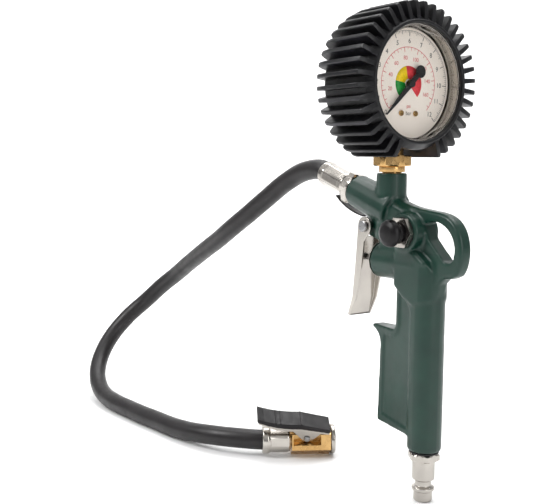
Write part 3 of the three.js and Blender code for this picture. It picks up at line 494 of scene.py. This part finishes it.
def carve(obj, cutter, overlapping=False):
    """Adds a cut to be settled later."""
    cut = obj.modifiers.new("carve", "BOOLEAN")
    cut.operation = "DIFFERENCE"
    cut.solver = "EXACT"
    cut.use_self = overlapping
    cut.object = cutter


def circle(radius, count, x=0.0):
    turns = [2 * math.pi * k / count for k in range(count)]
    return [(x + radius * math.cos(a), radius * math.sin(a)) for a in turns]


def prism(bm, outline, low, high, place):
    """Adds a straight prism from an outline between two depths, put in its place by a function."""
    lower = [bm.verts.new(place(x, y, low)) for x, y in outline]
    upper = [bm.verts.new(place(x, y, high)) for x, y in outline]
    bm.faces.new(lower[::-1])
    bm.faces.new(upper)
    count = len(outline)
    for i in range(count):
        k = (i + 1) % count
        bm.faces.new([lower[i], lower[k], upper[k], upper[i]])


# ---------------------------------------------------------------- hose

HOSE_DIAMETER = 0.012
HOSE_ROUTE = [
    (-109, -0.5, 170.8), (-126.5, -2, 163.5), (-143, -5, 153), (-160, -8, 142), (-177, -10, 132),
    (-194, -10, 123), (-212, -9, 115), (-230, -7.5, 107), (-248, -6, 99), (-265, -6, 90),
    (-281, -10, 79.5), (-294, -17, 67), (-302, -29, 54), (-303, -42, 40.5), (-297, -53.5, 28),
    (-286, -62, 17.5), (-270.5, -67, 10), (-253, -69, 6.6), (-235, -69, 6.1), (-218, -67.5, 6.1),
    (-201, -66, 6.1), (-184, -63.5, 6.1), (-166, -61.5, 6.3), (-149, -58.5, 7.2), (-132, -53.5, 8.8),
    (-117, -45, 9.6),
]


def on_hose_boss(distance):
    """A point of the hose boss's line, at a distance past the boss's end."""
    return HOSE_BOSS_END + OUT * distance


def on_chuck(distance):
    """A point of the chuck's line, at a distance past the start of its ferrule."""
    return CHUCK_AT + Vector((math.cos(CHUCK_YAW), math.sin(CHUCK_YAW), 0)) * distance


def spline_through(points, per_span):
    """Points of a smooth line through the given ones (centripetal Catmull-Rom)."""
    ends = [points[0] * 2 - points[1], *points, points[-1] * 2 - points[-2]]
    line = []
    for p0, p1, p2, p3 in zip(ends, ends[1:], ends[2:], ends[3:]):
        t0 = 0.0
        t1 = t0 + (p1 - p0).length ** 0.5
        t2 = t1 + (p2 - p1).length ** 0.5
        t3 = t2 + (p3 - p2).length ** 0.5
        for k in range(per_span):
            t = t1 + (t2 - t1) * k / per_span
            a1 = p0 * ((t1 - t) / (t1 - t0)) + p1 * ((t - t0) / (t1 - t0))
            a2 = p1 * ((t2 - t) / (t2 - t1)) + p2 * ((t - t1) / (t2 - t1))
            a3 = p2 * ((t3 - t) / (t3 - t2)) + p3 * ((t - t2) / (t3 - t2))
            b1 = a1 * ((t2 - t) / (t2 - t0)) + a2 * ((t - t0) / (t2 - t0))
            b2 = a2 * ((t3 - t) / (t3 - t1)) + a3 * ((t - t1) / (t3 - t1))
            line.append(b1 * ((t2 - t) / (t2 - t1)) + b2 * ((t - t1) / (t2 - t1)))
    line.append(points[-1])
    return line


def make_hose():
    through = [
        on_hose_boss(12), on_hose_boss(20), on_hose_boss(FERRULE_END), on_hose_boss(FERRULE_END + 6),
        *[Vector(p) for p in HOSE_ROUTE],
        on_chuck(0), on_chuck(6), on_chuck(12),
    ]
    line = [mm(*p) for p in spline_through(through, 6)]
    curve = bpy.data.curves.new("hose_tube", "CURVE")
    curve.dimensions = "3D"
    curve.bevel_depth = HOSE_DIAMETER / 2
    curve.bevel_resolution = 8
    curve.use_fill_caps = True
    strand = curve.splines.new("POLY")
    strand.points.add(len(line) - 1)
    for point, place in zip(strand.points, line):
        point.co = (*place, 1)
    obj = paint(placed("hose_tube", curve), HOSE)
    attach(obj, "tool")
    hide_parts("hose")
    length = sum((b - a).length for a, b in zip(line, line[1:]))
    return obj, length


hose, hose_length = make_hose()


# ---------------------------------------------------------------- cast body

GRIP_LEAN = math.tan(math.radians(8))
GRIP_HALF_WIDTH = 8.912
GRIP_LEAN_START = -1.253
PANEL_DEPTH = 0.9
PANEL = [
    (-28.6, 40.4), (-4.6, 38.2), (-4.6, 101), (-6.6, 104.4), (-10, 107.2), (-14.2, 109.6),
    (-14.2, 92), (-15.8, 87.6), (-19, 85.6), (-27.8, 84.6), (-28.2, 80),
]
SHOULDER_LOW, SHOULDER_HIGH = 98, 126
SHOULDER_RADIUS = 9.6
FLARE = [
    (8.2, 96), (9.0, 98), (9.25, 102), (9.9, 106.5), (10.6, 111), (8, 118), (5, 118), (5, 96),
    (8.2, 96),
]
CAST_GRAIN = 0.0005
CAST_SMOOTHING = 22
PANEL_REACH = 14
CORNER_REACH = 16


def grip_side(x):
    """Half the width of the grip's web at a place along X."""
    return GRIP_HALF_WIDTH - max(0.0, GRIP_LEAN_START - x) * GRIP_LEAN


def recess_cutter(side):
    """Cuts the shallow panel into one side of the grip."""
    bm = bmesh.new()
    inner = [bm.verts.new(mm(x, side * (grip_side(x) - PANEL_DEPTH), z)) for x, z in PANEL]
    outer = [bm.verts.new(mm(x, side * PANEL_REACH, z)) for x, z in PANEL]
    bm.faces.new(inner)
    bm.faces.new(outer[::-1])
    for i in range(len(PANEL)):
        k = (i + 1) % len(PANEL)
        bm.faces.new([inner[k], inner[i], outer[i], outer[k]])
    return placed("recess", mesh_from("recess", cleaned(bm)))


def corner_cutter(side):
    """Takes the square back corner off one side of the shoulder, down to the tube's kind of round."""
    bm = bmesh.new()
    arc = [math.radians(25 + 50 * k / 8) for k in range(9)]
    plan = [(SHOULDER_RADIUS * math.cos(a), side * SHOULDER_RADIUS * math.sin(a)) for a in arc]
    plan += [(4, side * CORNER_REACH), (CORNER_REACH, side * CORNER_REACH), (CORNER_REACH, side * 4.3)]
    prism(bm, plan, SHOULDER_LOW, SHOULDER_HIGH, mm)
    return placed("corner", mesh_from("corner", cleaned(bm)))


def add_flare(bm):
    """Adds the blend between the grip's tube and the shoulder, as a solid that overlaps both."""
    blend = bmesh.new()
    lathe(blend, FLARE, 64)
    bmesh.ops.recalc_face_normals(blend, faces=blend.faces)
    blend.transform(UPWARD)
    extra = mesh_from("flare", blend)
    bm.from_mesh(extra)
    bpy.data.meshes.remove(extra)


def make_casting():
    """The casting with its panels and blends, remeshed and smoothed so that its edges are soft."""
    bm = from_node("body_casting")
    add_flare(bm)
    obj = placed("casting_detail", mesh_from("casting", bm))
    cutters = [make(side) for make in (recess_cutter, corner_cutter) for side in (-1, 1)]
    for cutter in cutters:
        carve(obj, cutter)
    grain = obj.modifiers.new("grain", "REMESH")
    grain.mode = "VOXEL"
    grain.voxel_size = CAST_GRAIN
    soft = obj.modifiers.new("soft", "SMOOTH")
    soft.factor = 0.5
    soft.iterations = CAST_SMOOTHING
    settled(obj)
    for cutter in cutters:
        bpy.data.objects.remove(cutter)
    obj.data.shade_smooth()
    paint(obj, CAST)
    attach(obj, "tool")
    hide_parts("body_casting")


make_casting()


# ---------------------------------------------------------------- plug, valve and button

turned(
    "air_plug_detail",
    [
        (3.6, 0), (4.4, 0), (5, 0.8), (5, 5.4), (6, 6), (6, 7.6), (4.35, 8.4), (4.35, 11.2),
        (6, 12), (6, 22.2), (3.6, 22.2), (3.6, 0.0),
    ],
    UPWARD, "tool", NICKEL, ("air_plug",), segments=64, round_by=0.3,
)


def polygon_radius(angle, flat, sides):
    """Distance to a regular polygon's edge at an angle, where its flats are at a distance."""
    span = 2 * math.pi / sides
    return flat / math.cos((angle + span / 2) % span - span / 2)


def hexagon_between(bm, flats, low, high, turn):
    """A hexagonal nut or bar about local +Z with its corners turned off at both ends."""
    segments = 96
    chamfer = 0.7
    half = flats / 2
    end = half - chamfer * 0.2
    levels = [(low, end), (low + chamfer, flats), (high - chamfer, flats), (high, end)]
    rings = []
    for height, limit in levels:
        ring = []
        for i in range(segments):
            a = 2 * math.pi * i / segments
            r = min(limit, polygon_radius(a - turn, half, 6))
            ring.append(bm.verts.new((r * math.cos(a), r * math.sin(a), height)))
        rings.append(ring)
    for here, there in zip(rings, rings[1:]):
        for i in range(segments):
            k = (i + 1) % segments
            bm.faces.new([here[i], here[k], there[k], there[i]])
    bm.faces.new(rings[0][::-1])
    bm.faces.new(rings[-1])


def hexagon_piece(name, flats, low, high, turn, matrix, look):
    bm = bmesh.new()
    hexagon_between(bm, flats, low, high, turn)
    finished(name, bm, "tool", look, smooth=20, matrix=matrix)


hexagon_piece("air_plug_hexagon", 15, 22.2, 26.2, 0, UPWARD, NICKEL)
refined("air_plug_seal", RUBBER, 0.1)

refined("valve_gland", NICKEL, 0.2)
refined("valve_stem", STEEL, 0.15)
for name in ("valve_stem_ring", "valve_head_seal", "valve_seat_ring"):
    refined(name, RUBBER, 0.05)
refined("valve_seat", BRASS, 0.1)
refined("valve_spring", STEEL, 0)

refined("bleed_housing", NICKEL, 0.25)
refined("bleed_housing_ring", RUBBER, 0.05)
refined("bleed_stem", BRASS, 0.1)
refined("bleed_seal", RUBBER, 0.05)
refined("bleed_spring", STEEL, 0)
turned(
    "bleed_button_detail",
    [
        (0, -22.4), (4.2, -22), (6.4, -20.8), (7.1, -19.2), (7.1, -18), (6.6, -17.4), (5, -17.4),
        (5, -16.6), (5.35, -16.2), (5, -15.8), (5, -15.2), (5.35, -14.8), (5, -14.4), (5, -10.4),
        (2.1, -10.4), (2.1, -16.4), (0, -16.4),
    ],
    BLEED_LINE, "bleed_button", PLASTIC, ("bleed_button",), segments=64, round_by=0.5,
)

# ---------------------------------------------------------------- trigger

refined("trigger", NICKEL, 0.9, 36, 4)
refined("trigger_pin", STEEL, 0.25)
refined("trigger_pin_clip", STEEL, 0.1)
refined("guard_strip", PLASTIC, 0.2)


# ---------------------------------------------------------------- hose union and ferrule

turned(
    "hose_union_neck",
    [(0, -11), (6.2, -11), (6.2, 0.2), (4.7, 0.3), (4.7, 8.3), (3.4, 8.4), (3.4, 11), (0, 11)],
    HOSE_LINE, "tool", NICKEL, ("hose_union",), segments=48,
)
hexagon_piece("hose_union_hexagon", 17, 0.3, 5.8, math.radians(8), HOSE_LINE, NICKEL)
refined("hose_union_seal", RUBBER, 0.05)


def crimp(first, last, flats, depth):
    """Presses flats into a ferrule, from one point of its rounded profile to another."""

    def pressed(j, angle, radius):
        if not first <= j <= last:
            return radius
        return min(radius, polygon_radius(angle, radius - depth, flats))

    return pressed


turned(
    "hose_ferrule_detail",
    [
        (6.3, 29.9), (6.3, 8.3), (4.9, 8.2), (4.9, 7.4), (6.7, 7.4), (7.2, 8), (7.2, 10.6), (7, 11.6),
        (7, 25.6), (7.2, 26.6), (7.2, 29.4), (6.8, 30), (6.3, 29.9),
    ],
    HOSE_LINE, "tool", NICKEL, ("hose_ferrule",), segments=96, round_by=0.3,
    wobble=crimp(20, 36, 8, 0.35),
)

# ---------------------------------------------------------------- chuck

turned(
    "chuck_ferrule_detail",
    [
        (6.3, 0.4), (7.6, 0), (8.4, 0.6), (8.4, 3.6), (7.8, 4.8), (7.8, 15.4), (7.2, 17), (4.9, 17),
        (4.9, 16.2), (6.3, 16.1), (6.3, 0.4),
    ],
    CHUCK_LINE, "tool", NICKEL, ("chuck_ferrule",), segments=96, round_by=0.35,
    wobble=crimp(16, 22, 6, 0.5),
)
turned(
    "chuck_mouth_ring_detail",
    [(6.3, 41.3), (8.6, 41.3), (9, 41.8), (9, 43.4), (8.4, 44), (6.3, 44), (6.3, 41.3)],
    CHUCK_LINE, "tool", NICKEL, ("chuck_mouth_ring",), segments=64,
)
refined("chuck_body", BRASS, 0.45, 40)
refined("chuck_seal", RUBBER, 0.1)
refined("chuck_core_pin", BRASS, 0.1)
refined("chuck_rivet", STEEL, 0.2)
refined("chuck_lever_spring", STEEL, 0)
refined("chuck_lever", NICKEL, 0.2, 25)
refined("chuck_lever_grip", PLASTIC, 0.5, 14)


def make_grip_ribs():
    """Three low ribs across the lever's grip, two near its free end and one where it bends."""
    half_length = 5.6
    foot, crest, sunk = 0.55, 0.3, 0.6
    bm = bmesh.new()
    for x, z, height in ((7.6, 18.8, 0.5), (10.4, 18.25, 0.5), (22.6, 17.3, 0.55)):
        rib = [(x - foot, z - sunk), (x + foot, z - sunk), (x + crest, z + height), (x - crest, z + height)]
        prism(bm, rib, -half_length, half_length, lambda a, b, d: CHUCK @ Vector((a, d, b)))
    piece = finished("chuck_grip_ribs", bm, "chuck_lever", PLASTIC, smooth=30)
    bevelled(piece, 0.12, 2)


make_grip_ribs()


# ---------------------------------------------------------------- gauge

FINS = 40
STEM_OPENING = 12.4
PROTECTOR_FLAT = 38
SLEEVE = [
    (29.6, -9.6), (29.9, -8.6), (31.2, -8.4), (34.2, -12.6), (34.2, -45.4), (33.4, -46.4),
    (25.2, -46.4), (25, -44.6), (31.4, -44.6), (31.4, -10.9), (29.6, -10.9), (29.6, -9.6),
]
FIN_RADIUS = 41.5
FIN_SIDE = [
    (-9.1, 32.0), (-9.3, 35.0), (-10.1, 40.4), (-10.5, 41.1), (-11.4, FIN_RADIUS),
    (-38, FIN_RADIUS), (-43.6, 40.5), (-45.2, 39.6), (-45.9, 37),
]


def fin_root(z):
    """Radius of a fin's foot, sunk into the sleeve: it follows the cone behind the front lip."""
    cone_start, cone_length = -8.6, 4
    return 31.2 + min(max((cone_start - z) / cone_length, 0), 1) * 2.6


def add_fin(bm, turn):
    """One fin: thick at its root, thinner at its rounded tip, with a steep front end."""
    half_root, half_tip, edge = 1.3, 1.1, 0.4
    direction = Vector((math.cos(turn), math.sin(turn), 0))
    across = Vector((-math.sin(turn), math.cos(turn), 0))
    loops = []
    for z, r in FIN_SIDE:
        base_radius = fin_root(z)
        share = (r - base_radius) / (FIN_RADIUS - base_radius)
        half = half_root + (half_tip - half_root) * share
        tip = direction * r + Vector((0, 0, z))
        foot = direction * base_radius + Vector((0, 0, z))
        loop = [
            foot - across * half_root,
            tip - direction * edge - across * half,
            tip - across * (half - edge),
            tip + across * (half - edge),
            tip - direction * edge + across * half,
            foot + across * half_root,
        ]
        loops.append([bm.verts.new(p) for p in loop])
    for here, there in zip(loops, loops[1:]):
        for k in range(6):
            n = (k + 1) % 6
            bm.faces.new([here[k], here[n], there[n], there[k]])
    bm.faces.new(loops[0][::-1])
    bm.faces.new(loops[-1])


def protector_cutter():
    """Cuts the round opening for the stem and the flat under the protector."""
    low, high = 170, 191
    flat = GAUGE_HEIGHT - PROTECTOR_FLAT
    sole = [(-60, -40), (10, -40), (10, 40), (-60, 40)]
    bm = bmesh.new()
    lathe(bm, [(0, low), (STEM_OPENING, low), (STEM_OPENING, high), (0, high)], 64)
    bm.transform(STEM_LINE)
    prism(bm, sole, flat - 10, flat, mm)
    return placed("opening", mesh_from("opening", cleaned(bm)))


def make_protector():
    """Rubber sleeve with fins all round, left out where the stem comes through."""
    sharp = 30
    bm = bmesh.new()
    lathe(bm, rounded(SLEEVE, 0.5), 200)
    for i in range(FINS):
        angle = 2 * math.pi * (i + 0.5) / FINS
        over_stem = math.cos(angle) > 0 and abs(FIN_RADIUS * math.sin(angle)) < STEM_OPENING
        if not over_stem:
            add_fin(bm, angle)
    obj = finished(
        "gauge_protector_detail", bm, "tool", RUBBER, ("gauge_protector",), sharp, BACKWARD
    )
    cutter = protector_cutter()
    carve(obj, cutter, True)
    settled(obj)
    bpy.data.objects.remove(cutter)
    obj.data.shade_smooth()
    obj.data.set_sharp_from_angle(angle=math.radians(sharp))
    bevelled(obj, 0.25, 2, 35)


make_protector()

refined("gauge_case", BEZEL, 0.2, 30)
turned(
    "gauge_window_detail",
    [(0, -13.3), (28.2, -13.3), (28.2, -18.2), (29.1, -18.2), (29.1, -12), (28.6, -11.5), (0, -11.5)],
    BACKWARD, "tool", CLEAR, ("gauge_window",), segments=128, round_by=0.2,
)
turned(
    "gauge_bezel_wall",
    [
        (29.12, -18.4), (29.38, -18.4), (29.38, -11.3), (28.7, -11.3), (28.7, -11.45), (29.12, -11.9),
        (29.12, -18.4),
    ],
    BACKWARD, "tool", BEZEL, segments=128, round_by=0.05,
)
turned(
    "gauge_stem_shank",
    [
        (0, 160.2), (6.2, 160.2), (6.2, 171), (5.2, 171.4), (5.2, 172.1), (7, 172.1), (7.1, 174.8),
        (6.8, 175.4), (6, 180.8), (6, 190.2), (0, 190.2),
    ],
    STEM_LINE, "tool", BRASS, ("gauge_stem",), segments=64,
)
hexagon_piece("gauge_stem_hexagon", 20, 175.2, 181, math.radians(-12), STEM_LINE, BRASS)


def make_stem_carrier():
    """The block on top of the stem that carries the movement."""
    size = Vector((8, 14, 9)) / 1000
    bm = bmesh.new()
    bmesh.ops.create_cube(bm, size=1)
    bmesh.ops.scale(bm, verts=bm.verts, vec=size)
    bmesh.ops.translate(bm, verts=bm.verts, vec=mm(-30, 0, 194.5))
    bevelled(finished("gauge_stem_carrier", bm, "tool", BRASS), 0.4)


make_stem_carrier()
refined("gauge_stem_seal", RUBBER, 0.05)
for name in (
    "restrictor_screw", "bourdon_tube", "bourdon_tube_tip", "movement_rear_plate",
    "movement_front_plate", "movement_pillar_1", "movement_pillar_2", "movement_screw_1",
    "movement_screw_2", "pinion_arbor", "sector_gear", "tube_link",
):
    refined(name, BRASS, 0)
refined("hairspring", STEEL, 0)

DIAL_FRONT = -18.5
turned(
    "dial_plate_detail",
    [(1.6, -19.3), (28.4, -19.3), (28.4, DIAL_FRONT), (1.6, DIAL_FRONT), (1.6, -19.3)],
    BACKWARD, "tool", DIAL, ("dial_plate",), segments=128, round_by=0.1,
)

SCALE_START = math.radians(225)
SCALE_SWEEP = math.radians(270)
BARS = 12
PSI = 174


def on_dial(r, angle, lift=0.04):
    """A point of the dial's face: angle 0 is to the right and a quarter turn is up."""
    return mm(DIAL_FRONT + lift, r * math.cos(angle), GAUGE_HEIGHT + r * math.sin(angle))


def stroke(bm, angle, inner, outer, width):
    """One mark of a scale."""
    corners = []
    for r, side in ((inner, -1), (outer, -1), (outer, 1), (inner, 1)):
        corners.append(bm.verts.new(on_dial(r, angle + side * width / 2 / r)))
    bm.faces.new(corners)


def scale_angle(share):
    """Angle on the dial at a share of the whole scale."""
    return SCALE_START - SCALE_SWEEP * share


def arc_band(bm, inner, outer, start, end, steps):
    """A ring's sector, printed just under the marks."""
    lift = 0.03
    line = []
    for k in range(steps + 1):
        a = start + (end - start) * k / steps
        line.append((bm.verts.new(on_dial(inner, a, lift)), bm.verts.new(on_dial(outer, a, lift))))
    for (a, b), (c, d) in zip(line, line[1:]):
        bm.faces.new([a, b, d, c])


def lettering(bm, text, size, y, z):
    """Adds upright characters, centred on a place of the dial."""
    lift = 0.05
    font = bpy.data.curves.new("figure", "FONT")
    font.body = text
    font.size = size
    font.align_x = "CENTER"
    font.align_y = "CENTER"
    holder = placed("figure", font)
    bpy.context.view_layer.update()
    graph = bpy.context.evaluated_depsgraph_get()
    mesh = bpy.data.meshes.new_from_object(holder.evaluated_get(graph))
    for vertex in mesh.vertices:
        across, up = vertex.co.x, vertex.co.y
        vertex.co = mm(DIAL_FRONT + lift, y + across, GAUGE_HEIGHT + z + up)
    bm.from_mesh(mesh)
    bpy.data.objects.remove(holder)
    bpy.data.curves.remove(font)
    bpy.data.meshes.remove(mesh)


def number_at(bm, value, size, radius, share):
    """Prints a number at a share of the whole scale."""
    angle = scale_angle(share)
    lettering(bm, str(value), size, radius * math.cos(angle), radius * math.sin(angle))


def flat_piece(name, bm, look):
    """A printed mark, given a hair's thickness."""
    obj = finished(name, bm, "tool", look)
    thick = obj.modifiers.new("thickness", "SOLIDIFY")
    thick.thickness = 0.00003
    thick.offset = 0


def make_bar_scale():
    """Black outer scale: a long mark and a number at each bar, and shorter marks between."""
    outer = 27
    marks = BARS * 10
    bm = bmesh.new()
    for i in range(marks + 1):
        inner, width = 25.9, 0.15
        if i % 10 == 0:
            inner, width = 24.2, 0.34
        elif i % 5 == 0:
            inner, width = 25.2, 0.24
        stroke(bm, scale_angle(i / marks), inner, outer, width)
    arc_band(bm, outer - 0.05, outer + 0.1, scale_angle(0), scale_angle(1), 120)
    for bar in range(BARS + 1):
        number_at(bm, bar, 3.5, 21.7, bar / BARS)
    lettering(bm, "bar", 3.0, 0.4, -15.3)
    flat_piece("scale_black", bm, INK_BLACK)


def make_psi_scale():
    """Red inner scale: a mark at every 5 psi and a number at every 20."""
    outer = 18.6
    bm = bmesh.new()
    arc_band(bm, outer - 0.1, outer + 0.2, scale_angle(0), scale_angle(1), 120)
    for value in range(0, PSI + 1, 5):
        inner, width = 17.5, 0.2
        if value % 20 == 0:
            inner, width = 16.2, 0.34
        elif value % 10 == 0:
            inner, width = 17, 0.28
        stroke(bm, scale_angle(value / PSI), inner, outer, width)
    for value in range(20, 161, 20):
        number_at(bm, value, 2.9, 13.2, value / PSI)
    lettering(bm, "psi", 2.6, 0.4, -11.6)
    flat_piece("scale_red", bm, INK_PINK)


def make_zone(name, look, start, end):
    """A coloured sector around the pointer's hub, between two angles in degrees."""
    bm = bmesh.new()
    arc_band(bm, 2.4, 9.1, math.radians(start), math.radians(end), 40)
    flat_piece(name, bm, look)


make_bar_scale()
make_psi_scale()
make_zone("zone_green", INK_GREEN, 225, 172)
make_zone("zone_yellow", INK_YELLOW, 171.5, 103)
make_zone("zone_red", INK_RED, 102.5, -47)
for name in ("dial_screw_1", "dial_screw_2"):
    refined(name, BRASS, 0.15)


def along_pointer(x, y, depth):
    """A point at x along the pointer at the start of the scale and y across it."""
    cosine, sine = math.cos(SCALE_START), math.sin(SCALE_START)
    return mm(depth, x * cosine - y * sine, GAUGE_HEIGHT + x * sine + y * cosine)


def make_pointer():
    """Blade, round counterweight and two-stepped hub, turned to the start of the scale."""
    back, front = -16.6, -16.0
    proud = 0.02
    tail, tip = -9, 23.4
    side = [(tip, 0.28), (14, 1.0), (0, 1.6), (tail, 1.3)]
    blade = [(x, -y) for x, y in side[::-1]] + side
    bm = bmesh.new()
    prism(bm, blade, back, front, along_pointer)
    prism(bm, circle(3.3, 40, tail), back - proud, front + proud, along_pointer)
    for low, high, radius in ((-17.4, -15.3, 2.1), (-15.4, -15.15, 1.7)):
        prism(bm, circle(radius, 32), low, high, along_pointer)
    obj = finished("pointer_detail", bm, "pointer", POINTER, ("pointer",), 30)
    bevelled(obj, 0.12, 2)


make_pointer()


# ---------------------------------------------------------------- stage and light


FLOOR_NEAR = -2.5
FLOOR_FAR = 1.6
FLOOR_HALF_WIDTH = 6.0
COVE_RADIUS = 0.8
WALL_HEIGHT = 4.0


def make_floor():
    """A pale floor that curves up into a wall behind the object, seen from the camera."""
    steps = 12
    low = -ORIGIN_HEIGHT / 1000 - 0.0001
    profile = [(FLOOR_NEAR, 0), (FLOOR_FAR, 0)]
    for k in range(1, steps + 1):
        a = math.pi / 2 * k / steps
        profile.append((FLOOR_FAR + COVE_RADIUS * math.sin(a), COVE_RADIUS - COVE_RADIUS * math.cos(a)))
    profile.append((FLOOR_FAR + COVE_RADIUS, WALL_HEIGHT))
    bm = bmesh.new()
    ahead = Vector((forward.x, forward.y, 0)).normalized()
    side = Vector((-ahead.y, ahead.x, 0))
    lines = []
    for d, h in profile:
        p = ahead * d + Vector((0, 0, low + h))
        edge = side * FLOOR_HALF_WIDTH
        lines.append((bm.verts.new(p - edge), bm.verts.new(p + edge)))
    for (a, b), (c, d) in zip(lines, lines[1:]):
        bm.faces.new([a, b, d, c])
    mesh = mesh_from("floor", bm)
    mesh.shade_smooth()
    obj = placed("floor", mesh)
    paint(obj, Look("floor_paper", (0.92, 0.92, 0.92), 0.7).vary_roughness(3, 0.65, 0.8).bump(400, 0.00002))


make_floor()


def light(name, place, target, size, power):
    """A rectangular lamp at a place in metres, turned towards a target."""
    lamp = bpy.data.lights.new(name, "AREA")
    lamp.shape = "RECTANGLE"
    lamp.size, lamp.size_y = size
    lamp.energy = power
    obj = placed(name, lamp)
    obj.location = place
    obj.rotation_mode = "QUATERNION"
    obj.rotation_quaternion = (Vector(target) - Vector(place)).to_track_quat("-Z", "Y")


light("key", (-0.5, -1.3, 1.2), (-0.05, 0, 0.02), (0.7, 0.7), 19)
light("top", (-0.2, 0.3, 1.6), (-0.1, 0, 0), (1.2, 1.2), 15)
light("fill", (1.5, -0.1, 0.5), (-0.05, 0, 0.05), (0.5, 1.0), 7)
light("backdrop", (-0.9, 0.6, 1.9), (-1.9, 1.35, 0.3), (2.4, 1.0), 42)


def make_surroundings():
    """Soft light from above that fades towards the horizon, and a plain pale background."""
    world = bpy.data.worlds.new("world")
    scene.world = world
    world.use_nodes = True
    tree = world.node_tree
    direction = tree.nodes.new("ShaderNodeTexCoord")
    parts = tree.nodes.new("ShaderNodeSeparateXYZ")
    ramp = tree.nodes.new("ShaderNodeValToRGB")
    horizon, zenith = ramp.color_ramp.elements
    horizon.position = 0.08
    horizon.color = (0.4, 0.4, 0.41, 1)
    zenith.position = 0.55
    zenith.color = (1, 1, 1, 1)
    path = tree.nodes.new("ShaderNodeLightPath")
    choice = tree.nodes.new("ShaderNodeMix")
    choice.data_type = "RGBA"
    choice.inputs[MIX_SECOND].default_value = (1.6, 1.6, 1.6, 1)
    tree.links.new(direction.outputs["Generated"], parts.inputs["Vector"])
    tree.links.new(parts.outputs["Z"], ramp.inputs["Fac"])
    tree.links.new(path.outputs["Is Camera Ray"], choice.inputs["Factor"])
    tree.links.new(ramp.outputs["Color"], choice.inputs[MIX_FIRST])
    background = tree.nodes["Background"]
    background.inputs["Strength"].default_value = 0.6
    tree.links.new(choice.outputs[MIX_RESULT], background.inputs["Color"])


make_surroundings()
scene.view_settings.view_transform = "Standard"
scene.view_settings.look = "None"
